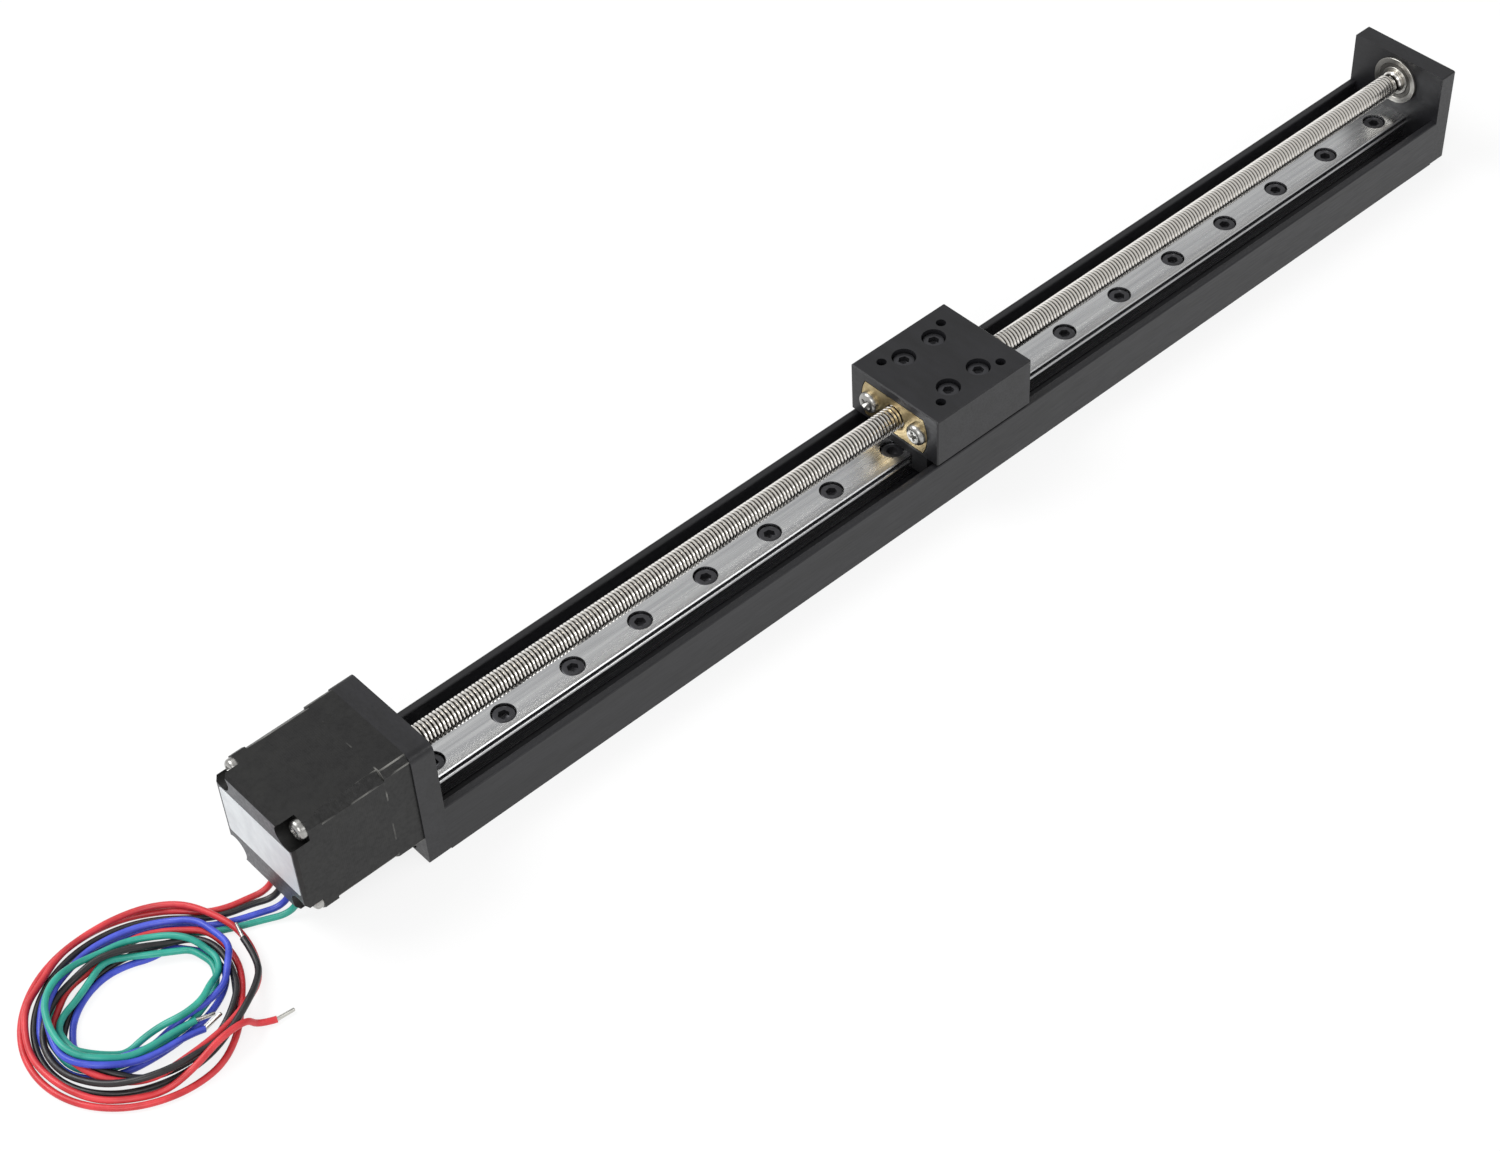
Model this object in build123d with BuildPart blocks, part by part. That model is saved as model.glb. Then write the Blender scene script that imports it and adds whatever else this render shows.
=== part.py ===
from build123d import *

import os
from math import cos, pi, radians, sin, tan

# Lead screw linear slide, millimetres.
# +X runs from the motor to the far end plate, +Y is across, +Z is up.
# The origin is under the middle of the slide, on the surface that it stands on.

# Linear rail, a miniature profile rail 9 wide with its holes 20 apart
rail_hole_pitch = 20.0
rail_hole_count = 17
rail_end_distance = 7.5
rail_width = 9.0
rail_height = 6.5
rail_edge_chamfer = 0.25
rail_hole_radius = 1.75
rail_counterbore_radius = 3.0
rail_counterbore_depth = 3.5
rail_length = (rail_hole_count - 1) * rail_hole_pitch + 2 * rail_end_distance

# Race of the rail block's balls, in the rail's flanks and in the block
race_radius = 0.85
race_drop = 1.55
race_offset = 0.25

# Channel
channel_width = 29.0
channel_height = 13.6
channel_floor = 4.2
channel_wall = 2.0
channel_inner_fillet = 0.6
channel_edge_fillet = 0.4

# End pieces
motor_plate_thickness = 6.0
motor_plate_height = 34.4
motor_plate_corner = 2.0
end_plate_thickness = 5.0
end_plate_height = 28.0
plate_edge_chamfer = 0.3

# Lead screw
screw_axis_height = 20.6
screw_radius = 3.0
motor_shaft_radius = 2.5
screw_end_chamfer = 0.4
screw_end_recess = 0.4
thread_standoff = 0.6

# Travel, with the centre of the carriage measured from the motor plate
carriage_rest = 164.0

# Carriage block
carriage_length = 31.4
carriage_overhang = 0.2
carriage_thickness = 14.0
carriage_edge_chamfer = 0.3
block_screw_pitch_x = 10.0
block_screw_pitch_y = 15.0
payload_hole_pitch = 20.0
payload_hole_radius = 1.25
payload_hole_depth = 5.5

# Rail block under the carriage block
block_height = 10.0
block_width = 20.0
block_underside = 2.2
block_body_length = 18.9
block_cap_length = 4.2
block_seal_length = 0.8
block_cap_inset = 0.2
block_hole_depth = 3.0
block_corner_chamfer = 0.6
block_clearance = 0.5
cap_clearance = 0.35
seal_clearance = 0.1
return_bore_radius = 0.95
return_bore_offset = 7.4

# Lead nut
nut_flange_radius = 11.0
nut_flange_thickness = 3.0
nut_flange_height = 10.4
nut_body_radius = 5.0
nut_length = 15.0
nut_screw_pitch = 16.0
nut_edge_chamfer = 0.4

# M3 cap screws, M2 cap screws, pan head screws
m3_radius = 1.5
m3_head_radius = 2.75
m3_head_height = 3.0
m3_key = 2.5
m3_key_depth = 1.4
m3_counterbore_radius = 3.0
block_screw_length = 12.0
block_screw_sink = 1.0
rail_screw_length = 6.0
m2_radius = 1.0
m2_head_radius = 1.9
m2_head_height = 2.0
m2_key = 1.5
m2_key_depth = 1.0
m2_counterbore_radius = 2.1
plate_screw_length = 8.0
plate_screw_height = 2.4
plate_screw_pitch = 16.0
plate_hole_depth = 6.0
m25_radius = 1.25
m25_head_radius = 1.95
m25_head_height = 2.5
m25_key = 2.0
m25_key_depth = 1.2
m25_counterbore_radius = 2.05
mount_screw_length = 6.0
pan_m3_head_radius = 2.8
pan_m3_head_height = 2.0
nut_screw_length = 6.0
pan_m25_head_radius = 2.35
pan_m25_head_height = 1.8
pan_edge_chamfer = 0.7

# Holes that fasten the slide to a machine, tapped through the channel's floor
base_hole_radius = 1.65
base_hole_pitch_x = 300.0
base_hole_pitch_y = 18.0

# Flanged ball bearing in the end plate, and the two in the motor
end_bearing_outer_radius = 6.0
end_bearing_width = 4.0
end_bearing_flange_radius = 6.6
end_bearing_flange_width = 0.8
motor_bearing_outer_radius = 5.5
motor_bearing_width = 4.0
ring_wall = 0.95
shield_thickness = 0.2
shield_inset = 0.15

# Stepper motor
motor_length = 30.6
front_bell_length = 6.7
rear_bell_length = 7.9
bell_corner_chamfer = 1.5
rear_rim_chamfer = 0.8
stator_corner_chamfer = 2.2
motor_hole_pitch = 23.0
motor_hole_inset = 2.6
pilot_radius = 11.0
pilot_height = 2.0
bell_hollow_radius = 12.3
bearing_boss_radius = 7.0
front_hollow_depth = 3.1
rear_wall = 1.2
rear_washer_thickness = 0.4
corner_recess_radius = 3.2
corner_recess_depth = 4.4
through_screw_grip = 3.3
stator_bore_radius = 9.1
slot_radius = 12.2
pole_count = 8
pole_width = 3.2
pole_root = 0.5
shoe_width = 5.6
shoe_thickness = 1.2
pole_teeth = 5
tooth_gap = 0.5
tooth_depth = 0.45
coil_thickness = 1.2
coil_build = 1.4
coil_overhang = 2.6
coil_corner = 1.0
coil_gap = 0.1
rotor_air_gap = 0.1
rotor_teeth = 50
magnet_thickness = 2.0
magnet_radius = 8.2

# Wires
wire_radius = 0.75
wire_arc_share = 0.45
wire_pitch = 3.0
port_length = 2.6
port_width = 11.6
port_side = -1.2
grommet_height = 3.0
grommet_proud = 0.3
grommet_fillet = 0.4
coil_ring_length = 51.0
coil_ring_width = 49.0
coil_hole_length = 34.0
coil_hole_width = 23.0
coil_ring_height = 4.4
coil_ring_roundness = 0.98
coil_hole_roundness = 0.96
coil_ring_chamfer = 1.0
coil_ring_reach = 36.4
coil_ring_side = -3.0

# Clearances
thread_clearance = 0.05
hole_end_gap = 0.3
bolt_clearance = 0.2
nut_clearance = 0.1
nut_running_clearance = 0.06
pocket_clearance = 0.2
pilot_clearance = 0.1
seat_clearance = 0.3
shaft_clearance = 0.4
plate_bore_radius = 5.0
grommet_clearance = 0.05
shield_clearance = 0.1

# Widths that follow from others
carriage_width = channel_width + 2 * carriage_overhang
motor_side = motor_hole_pitch + 2 * motor_hole_inset

# Places along X
object_length = motor_length + motor_plate_thickness + rail_length + end_plate_thickness
x_motor_rear = -object_length / 2
x_motor_front = x_motor_rear + motor_length
x_channel = x_motor_front + motor_plate_thickness
x_end_plate = x_channel + rail_length
x_channel_middle = x_channel + rail_length / 2
x_stator = x_motor_rear + rear_bell_length
stator_length = motor_length - rear_bell_length - front_bell_length
x_stator_end = x_stator + stator_length
x_carriage = x_channel + carriage_rest
x_nut_face = x_carriage - carriage_length / 2

# Places along Z
z_rail_top = channel_floor + rail_height
z_race = z_rail_top - race_drop
z_carriage = channel_floor + block_height
z_carriage_top = z_carriage + carriage_thickness
z_block_seat = z_carriage_top - block_screw_sink - m3_head_height
z_rail_seat = z_rail_top - rail_counterbore_depth

# How deep the heads of the plates' screws are sunk
plate_sink = m2_head_height + seat_clearance


def facing_far(x, z=0.0):
    """A plane across the slide that looks towards the far end, with Y and Z as its axes."""
    return Plane(origin=(x, 0, z), x_dir=(0, 1, 0), z_dir=(1, 0, 0))


def facing_motor(x, z=0.0):
    """A plane across the slide that looks back towards the motor."""
    return Plane(origin=(x, 0, z), x_dir=(0, -1, 0), z_dir=(-1, 0, 0))


def shifted(plane, points):
    """The plane moved to each point, given in the plane's own axes."""
    return [Plane(plane.from_local_coords((u, v, 0)), plane.x_dir, plane.z_dir) for u, v in points]


def rectangle_points(pitch_u, pitch_v):
    """The four corners of a hole pattern."""
    return [(su * pitch_u / 2, sv * pitch_v / 2) for su in (-1, 1) for sv in (-1, 1)]


def line_points(pitch):
    """Two places, one each side of the middle."""
    return [(-pitch / 2, 0), (pitch / 2, 0)]


def cap_screws(seats, shank, length, head, height, key, key_depth):
    """Socket head cap screws, whose heads stand on the seats and whose shanks run into them."""
    with BuildPart() as screws:
        with BuildSketch(*seats):
            Circle(head)
        extrude(amount=height)
        with BuildSketch(*[seat.offset(height) for seat in seats]):
            RegularPolygon(radius=key / 2, side_count=6, major_radius=False)
        extrude(amount=-key_depth, mode=Mode.SUBTRACT)
        with BuildSketch(*seats):
            Circle(shank)
        extrude(amount=-length)
    return screws


def pan_screws(seats, shank, length, head, height):
    """Pan head screws, with a bevel round the top of each head."""
    with BuildPart() as screws:
        with BuildSketch(*seats):
            Circle(head)
        extrude(amount=height)
        tops = screws.edges().group_by(Axis(seats[0].origin, seats[0].z_dir))[-1]
        chamfer(tops, pan_edge_chamfer)
        with BuildSketch(*seats):
            Circle(shank)
        extrude(amount=-length)
    return screws


# U channel that carries everything
with BuildPart() as base_channel:
    with BuildSketch(facing_far(x_channel)) as channel_profile:
        Rectangle(channel_width, channel_height, align=(Align.CENTER, Align.MIN))
        inner_width = channel_width - 2 * channel_wall
        with Locations((0, channel_floor)):
            Rectangle(inner_width, channel_height, align=(Align.CENTER, Align.MIN), mode=Mode.SUBTRACT)
        inner_corners = channel_profile.vertices().filter_by(
            lambda v: abs(abs(v.X) - inner_width / 2) < 0.01 and abs(v.Y - channel_floor) < 0.01
        )
        fillet(inner_corners, channel_inner_fillet)
        fillet(channel_profile.vertices().group_by(Axis.Y)[-1], channel_edge_fillet)
    extrude(amount=rail_length)
    with Locations((x_channel_middle, 0, channel_floor)):
        with GridLocations(rail_hole_pitch, 1, rail_hole_count, 1):
            Hole(m3_radius + thread_clearance, rail_screw_length - z_rail_seat + channel_floor + hole_end_gap)
        with GridLocations(base_hole_pitch_x, base_hole_pitch_y, 2, 2):
            Hole(base_hole_radius, channel_floor)
    for face in (facing_motor(x_channel, plate_screw_height), facing_far(x_end_plate, plate_screw_height)):
        with Locations(*shifted(face, line_points(plate_screw_pitch))):
            Hole(m2_radius + thread_clearance, plate_hole_depth)

# Plate between the motor and the channel
with BuildPart() as motor_plate:
    with BuildSketch(facing_far(x_motor_front)) as plate_profile:
        Rectangle(channel_width, motor_plate_height, align=(Align.CENTER, Align.MIN))
        fillet(plate_profile.vertices().group_by(Axis.Y)[-1], motor_plate_corner)
        chamfer(plate_profile.vertices().group_by(Axis.Y)[0], plate_edge_chamfer)
    extrude(amount=motor_plate_thickness)
    with Locations(facing_motor(x_motor_front, screw_axis_height)):
        CounterBoreHole(plate_bore_radius, pilot_radius + pilot_clearance, pilot_height + seat_clearance)
    with Locations(*shifted(facing_far(x_channel, screw_axis_height),
                            rectangle_points(motor_hole_pitch, motor_hole_pitch))):
        CounterBoreHole(m25_radius + bolt_clearance, m25_counterbore_radius, m25_head_height + seat_clearance)
    with Locations(*shifted(facing_motor(x_motor_front, plate_screw_height), line_points(plate_screw_pitch))):
        CounterBoreHole(
            m2_radius + bolt_clearance, m2_counterbore_radius, plate_sink, motor_plate_thickness
        )

# Plate at the far end, with the bearing's bore
with BuildPart() as end_plate:
    with BuildSketch(facing_far(x_end_plate)) as end_profile:
        Rectangle(channel_width, end_plate_height, align=(Align.CENTER, Align.MIN))
        chamfer(end_profile.vertices(), plate_edge_chamfer)
    extrude(amount=end_plate_thickness)
    with Locations(facing_far(x_end_plate + end_plate_thickness, screw_axis_height)):
        Hole(end_bearing_outer_radius, end_plate_thickness)
    with Locations(*shifted(facing_far(x_end_plate + end_plate_thickness, plate_screw_height),
                            line_points(plate_screw_pitch))):
        CounterBoreHole(m2_radius + bolt_clearance, m2_counterbore_radius, plate_sink, end_plate_thickness)

# Profile rail with a round race in each flank
race_points = [(side * (rail_width / 2 + race_offset), z_race) for side in (-1, 1)]
with BuildPart() as linear_rail:
    with BuildSketch(facing_far(x_channel)) as rail_profile:
        with Locations((0, channel_floor)):
            Rectangle(rail_width, rail_height, align=(Align.CENTER, Align.MIN))
        chamfer(rail_profile.vertices(), rail_edge_chamfer)
        with Locations(*race_points):
            Circle(race_radius, mode=Mode.SUBTRACT)
    extrude(amount=rail_length)
    with Locations((x_channel_middle, 0, z_rail_top)):
        with GridLocations(rail_hole_pitch, 1, rail_hole_count, 1):
            CounterBoreHole(rail_hole_radius, rail_counterbore_radius, rail_counterbore_depth, rail_height)

with BuildPart() as rail_screws:
    with BuildSketch(Plane.XY.offset(z_rail_seat)):
        with Locations((x_channel_middle, 0)):
            with GridLocations(rail_hole_pitch, 1, rail_hole_count, 1):
                Circle(m3_head_radius)
    extrude(amount=m3_head_height)
    with BuildSketch(Plane.XY.offset(z_rail_seat)):
        with Locations((x_channel_middle, 0)):
            with GridLocations(rail_hole_pitch, 1, rail_hole_count, 1):
                Circle(m3_radius)
    extrude(amount=-rail_screw_length)

motor_plate_screws = cap_screws(
    shifted(facing_motor(x_motor_front + plate_sink, plate_screw_height), line_points(plate_screw_pitch)),
    m2_radius, plate_screw_length, m2_head_radius, m2_head_height, m2_key, m2_key_depth
)
end_plate_screws = cap_screws(
    shifted(facing_far(x_end_plate + end_plate_thickness - plate_sink, plate_screw_height),
            line_points(plate_screw_pitch)),
    m2_radius, plate_screw_length, m2_head_radius, m2_head_height, m2_key, m2_key_depth
)
motor_mount_screws = cap_screws(
    shifted(facing_far(x_channel - m25_head_height - seat_clearance, screw_axis_height),
            rectangle_points(motor_hole_pitch, motor_hole_pitch)),
    m25_radius, mount_screw_length, m25_head_radius, m25_head_height, m25_key, m25_key_depth
)


def bearing(x, bore, outer, width, flange_radius, flange_width):
    """Outer ring, inner ring and shields of a ball bearing whose near face is at x."""
    face = facing_far(x, screw_axis_height)
    with BuildPart() as outer_ring:
        with BuildSketch(face):
            Circle(outer)
        extrude(amount=width)
        with BuildSketch(face):
            Circle(flange_radius)
        extrude(amount=flange_width)
        with BuildSketch(face):
            Circle(outer - ring_wall)
        extrude(amount=width, mode=Mode.SUBTRACT)
    with BuildPart() as inner_ring:
        with BuildSketch(face):
            Circle(bore + ring_wall)
            Circle(bore, mode=Mode.SUBTRACT)
        extrude(amount=width)
    with BuildPart() as shields:
        with BuildSketch(face.offset(shield_inset), face.offset(width - shield_inset - shield_thickness)):
            Circle(outer - ring_wall)
            Circle(bore + ring_wall + shield_clearance, mode=Mode.SUBTRACT)
        extrude(amount=shield_thickness)
    return outer_ring, inner_ring, shields


# Bearing in the end plate, whose flange seats on the plate's inner face
end_bearing_outer_ring, end_bearing_inner_ring, end_bearing_shields = bearing(
    x_end_plate - end_bearing_flange_width, screw_radius, end_bearing_outer_radius, end_bearing_width,
    end_bearing_flange_radius, end_bearing_flange_width
)

# Bearings of the motor, the rear one on a washer that preloads them both
x_front_bearing = x_stator_end + front_hollow_depth
x_rear_bearing = x_motor_rear + rear_wall + rear_washer_thickness
front_bearing_outer_ring, front_bearing_inner_ring, front_bearing_shields = bearing(
    x_front_bearing, motor_shaft_radius, motor_bearing_outer_radius, motor_bearing_width,
    motor_bearing_outer_radius, motor_bearing_width
)
rear_bearing_outer_ring, rear_bearing_inner_ring, rear_bearing_shields = bearing(
    x_rear_bearing, motor_shaft_radius, motor_bearing_outer_radius, motor_bearing_width,
    motor_bearing_outer_radius, motor_bearing_width
)
with BuildPart() as rear_preload_washer:
    with BuildSketch(facing_far(x_motor_rear + rear_wall, screw_axis_height)):
        Circle(motor_bearing_outer_radius - bolt_clearance)
        Circle(motor_bearing_outer_radius - ring_wall, mode=Mode.SUBTRACT)
    extrude(amount=rear_washer_thickness)

# Motor front bell with its pilot, the front bearing's seat and four tapped corners
corner_points = rectangle_points(motor_hole_pitch, motor_hole_pitch)
with BuildPart() as motor_front_bell:
    with BuildSketch(facing_far(x_stator_end, screw_axis_height)) as bell_profile:
        Rectangle(motor_side, motor_side)
        chamfer(bell_profile.vertices(), bell_corner_chamfer)
    extrude(amount=front_bell_length)
    with BuildSketch(facing_far(x_motor_front, screw_axis_height)):
        Circle(pilot_radius)
    extrude(amount=pilot_height)
    with Locations(facing_motor(x_stator_end, screw_axis_height)):
        CounterBoreHole(
            motor_bearing_outer_radius, bell_hollow_radius, front_hollow_depth,
            front_hollow_depth + motor_bearing_width
        )
        Hole(motor_shaft_radius + shaft_clearance)
    with Locations(*shifted(facing_motor(x_stator_end, screw_axis_height), corner_points)):
        Hole(m25_radius + thread_clearance, front_bell_length)

# Motor rear bell, open at its corners for the through screws and below for the wires
x_port = x_motor_rear + rear_wall + port_length / 2
z_motor_bottom = screw_axis_height - motor_side / 2
rear_hollow_depth = rear_bell_length - rear_wall
rear_boss_length = rear_washer_thickness + motor_bearing_width
with BuildPart() as motor_rear_bell:
    with BuildSketch(facing_motor(x_stator, screw_axis_height)) as rear_profile:
        Rectangle(motor_side, motor_side)
        chamfer(rear_profile.vertices(), bell_corner_chamfer)
    extrude(amount=rear_bell_length)
    chamfer(motor_rear_bell.edges().group_by(Axis.X)[0], rear_rim_chamfer)
    with BuildSketch(facing_far(x_motor_rear + rear_wall, screw_axis_height)):
        Circle(bell_hollow_radius)
    extrude(amount=rear_hollow_depth, mode=Mode.SUBTRACT)
    with BuildSketch(facing_far(x_motor_rear + rear_wall, screw_axis_height)):
        Circle(bearing_boss_radius)
        Circle(motor_bearing_outer_radius, mode=Mode.SUBTRACT)
    extrude(amount=rear_boss_length)
    with Locations(*shifted(facing_motor(x_motor_rear, screw_axis_height), corner_points)):
        CounterBoreHole(
            m25_radius + bolt_clearance, corner_recess_radius, corner_recess_depth, rear_bell_length
        )
    with BuildSketch(Plane.XY.offset(z_motor_bottom)):
        with Locations((x_port, port_side)):
            Rectangle(port_length, port_width)
    extrude(amount=grommet_height, mode=Mode.SUBTRACT)

# Stator stack with eight toothed poles
pole_points = [180.0 / pole_count + k * 360.0 / pole_count for k in range(pole_count)]
with BuildPart() as motor_stator:
    with BuildSketch(facing_far(x_stator, screw_axis_height)) as stator_profile:
        Rectangle(motor_side, motor_side)
        chamfer(stator_profile.vertices(), stator_corner_chamfer)
        Circle(slot_radius, mode=Mode.SUBTRACT)
        pole_length = slot_radius - stator_bore_radius
        with PolarLocations(stator_bore_radius, pole_count, start_angle=pole_points[0]):
            Rectangle(pole_length + pole_root, pole_width, align=(Align.MIN, Align.CENTER))
            Rectangle(shoe_thickness, shoe_width, align=(Align.MIN, Align.CENTER))
        Circle(stator_bore_radius, mode=Mode.SUBTRACT)
        for k in range(pole_teeth):
            tooth_turn = (k - (pole_teeth - 1) / 2) * 360.0 / rotor_teeth
            with PolarLocations(stator_bore_radius, pole_count, start_angle=pole_points[0] + tooth_turn):
                Rectangle(2 * tooth_depth, tooth_gap, mode=Mode.SUBTRACT)
        with Locations(*corner_points):
            Circle(m25_radius + bolt_clearance, mode=Mode.SUBTRACT)
    extrude(amount=stator_length)

# Windings, one round each pole
coil_radius = stator_bore_radius + shoe_thickness + coil_gap
coil_end = stator_length / 2 + coil_overhang
coil_side = pole_width / 2 + coil_gap + coil_thickness
coil_planes = []
for angle in pole_points:
    out = (0, cos(radians(angle)), sin(radians(angle)))
    seat = Vector(x_stator + stator_length / 2, 0, screw_axis_height) + Vector(*out) * coil_radius
    coil_planes.append(Plane(origin=seat, x_dir=(1, 0, 0), z_dir=out))
with BuildPart() as motor_coils:
    with BuildSketch(*coil_planes):
        RectangleRounded(2 * coil_end, 2 * coil_side, coil_corner)
        Rectangle(2 * coil_end - 2 * coil_thickness, 2 * coil_side - 2 * coil_thickness, mode=Mode.SUBTRACT)
    extrude(amount=coil_build)

# Screws that hold the motor together from behind
motor_through_screws = pan_screws(
    shifted(facing_motor(x_motor_rear + corner_recess_depth, screw_axis_height), corner_points),
    m25_radius, rear_bell_length - corner_recess_depth + stator_length + through_screw_grip,
    pan_m25_head_radius, pan_m25_head_height
)

# Lead screw, one shaft from the motor's rear bearing to the far bearing
x_thread = x_motor_front + pilot_height + thread_standoff
x_screw_end = x_end_plate + end_plate_thickness - screw_end_recess
with BuildPart() as lead_screw:
    with BuildSketch(facing_far(x_rear_bearing, screw_axis_height)):
        Circle(motor_shaft_radius)
    extrude(amount=x_thread - x_rear_bearing)
    with BuildSketch(facing_far(x_thread, screw_axis_height)):
        Circle(screw_radius)
    extrude(amount=x_screw_end - x_thread)
    chamfer(lead_screw.edges().filter_by(GeomType.CIRCLE).group_by(Axis.X)[-1], screw_end_chamfer)
    chamfer(lead_screw.edges().filter_by(GeomType.CIRCLE).group_by(Axis.X)[0], screw_end_chamfer)

# Rotor: two toothed stacks, turned half a tooth against each other, with a magnet between them
rotor_radius = stator_bore_radius - rotor_air_gap
stack_length = (stator_length - magnet_thickness) / 2


def rotor_stack(x, turn):
    """One toothed stack of the rotor, its near face at x, turned by an angle in degrees."""
    with BuildPart() as stack:
        with BuildSketch(facing_far(x, screw_axis_height)):
            Circle(rotor_radius)
            Circle(motor_shaft_radius, mode=Mode.SUBTRACT)
            with PolarLocations(rotor_radius, rotor_teeth, start_angle=turn):
                Rectangle(2 * tooth_depth, tooth_gap, mode=Mode.SUBTRACT)
        extrude(amount=stack_length)
    return stack


rotor_stack_rear = rotor_stack(x_stator, 0)
rotor_stack_front = rotor_stack(x_stator + stack_length + magnet_thickness, 180.0 / rotor_teeth)
with BuildPart() as rotor_magnet:
    with BuildSketch(facing_far(x_stator + stack_length, screw_axis_height)):
        Circle(magnet_radius)
        Circle(motor_shaft_radius, mode=Mode.SUBTRACT)
    extrude(amount=magnet_thickness)

# Carriage block
block_screw_points = rectangle_points(block_screw_pitch_x, block_screw_pitch_y)
with BuildPart() as carriage_block:
    with BuildSketch(Plane.XY.offset(z_carriage)):
        with Locations((x_carriage, 0)):
            Rectangle(carriage_length, carriage_width)
    extrude(amount=carriage_thickness)
    chamfer(carriage_block.edges(), carriage_edge_chamfer)
    with Locations((x_carriage, 0, z_carriage_top)):
        with Locations(*block_screw_points):
            CounterBoreHole(
                m3_radius + bolt_clearance, m3_counterbore_radius, block_screw_sink + m3_head_height,
                carriage_thickness
            )
        with Locations(*rectangle_points(payload_hole_pitch, payload_hole_pitch)):
            Hole(payload_hole_radius, payload_hole_depth)
    with Locations(facing_motor(x_nut_face, screw_axis_height)):
        Hole(nut_body_radius + nut_clearance, carriage_length)
    with BuildSketch(facing_far(x_nut_face, screw_axis_height)):
        Circle(nut_flange_radius + pocket_clearance)
        Rectangle(
            2 * (nut_flange_radius + pocket_clearance), nut_flange_height + 2 * pocket_clearance,
            mode=Mode.INTERSECT
        )
    extrude(amount=nut_flange_thickness, mode=Mode.SUBTRACT)
    with Locations(*shifted(facing_motor(x_nut_face + nut_flange_thickness, screw_axis_height),
                            line_points(nut_screw_pitch))):
        Hole(m3_radius + thread_clearance, nut_screw_length - nut_flange_thickness + hole_end_gap)

carriage_cap_screws = cap_screws(
    [Plane(origin=(x_carriage + u, v, z_block_seat)) for u, v in block_screw_points],
    m3_radius, block_screw_length, m3_head_radius, m3_head_height, m3_key, m3_key_depth
)

# Brass nut, its flange flush in the carriage's pocket
with BuildPart() as lead_nut:
    with BuildSketch(facing_far(x_nut_face, screw_axis_height)):
        Circle(nut_flange_radius)
        Rectangle(2 * nut_flange_radius, nut_flange_height, mode=Mode.INTERSECT)
        with Locations(*line_points(nut_screw_pitch)):
            Circle(m3_radius + bolt_clearance, mode=Mode.SUBTRACT)
    extrude(amount=nut_flange_thickness)
    with BuildSketch(facing_far(x_nut_face, screw_axis_height)):
        Circle(nut_body_radius)
    extrude(amount=nut_length)
    with Locations(facing_motor(x_nut_face, screw_axis_height)):
        Hole(screw_radius + nut_running_clearance, nut_length)
    chamfer(
        lead_nut.edges().filter_by(GeomType.CIRCLE).filter_by(
            lambda edge: abs(edge.radius - screw_radius - nut_running_clearance) < 0.01
        ),
        nut_edge_chamfer
    )
nut_screws = pan_screws(
    shifted(facing_motor(x_nut_face, screw_axis_height), line_points(nut_screw_pitch)),
    m3_radius, nut_screw_length, pan_m3_head_radius, pan_m3_head_height
)


def saddle_outline(x, inset, clearance):
    """The rail block's cross-section at x, open below so that it clears the rail."""
    with BuildSketch(facing_far(x)) as outline:
        with Locations((0, channel_floor + block_underside)):
            Rectangle(
                block_width - 2 * inset, block_height - block_underside - inset,
                align=(Align.CENTER, Align.MIN)
            )
        chamfer(outline.vertices(), block_corner_chamfer)
        with Locations((0, channel_floor)):
            Rectangle(
                rail_width + 2 * clearance, rail_height + clearance, align=(Align.CENTER, Align.MIN),
                mode=Mode.SUBTRACT
            )
    return outline.sketch


# Rail block: steel body with its races and ball returns
x_block = x_carriage - block_body_length / 2
x_block_end = x_block + block_body_length
body_outline = saddle_outline(x_block, 0, block_clearance)
with BuildPart() as rail_block:
    extrude(body_outline, amount=block_body_length)
    with BuildSketch(facing_far(x_block)):
        with Locations(*race_points):
            Circle(race_radius)
        with Locations(*[(side * return_bore_offset, z_race) for side in (-1, 1)]):
            Circle(return_bore_radius)
    extrude(amount=block_body_length, mode=Mode.SUBTRACT)
    with Locations((x_carriage, 0, z_carriage)):
        with Locations(*block_screw_points):
            Hole(m3_radius + thread_clearance, block_hole_depth)

# End caps that turn the balls round, and the wiper seals outside them
cap_outlines = [
    saddle_outline(x, block_cap_inset, cap_clearance) for x in (x_block - block_cap_length, x_block_end)
]
seal_outlines = [
    saddle_outline(x, block_cap_inset, seal_clearance)
    for x in (x_block - block_cap_length - block_seal_length, x_block_end + block_cap_length)
]
with BuildPart() as block_end_caps:
    for outline in cap_outlines:
        extrude(outline, amount=block_cap_length)
with BuildPart() as block_end_seals:
    for outline in seal_outlines:
        extrude(outline, amount=block_seal_length)

# Grommet in the port of the rear bell
z_grommet = z_motor_bottom - grommet_proud
with BuildPart() as wire_grommet:
    with BuildSketch(Plane.XY.offset(z_grommet)):
        with Locations((x_port, port_side)):
            RectangleRounded(
                port_length - 2 * grommet_clearance, port_width - 2 * grommet_clearance, grommet_fillet
            )
    extrude(amount=grommet_height)


def exit_point(place):
    """Where a wire leaves the grommet, counted from the far side."""
    return (x_port, port_side + (1.5 - place) * wire_pitch, z_grommet)


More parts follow.
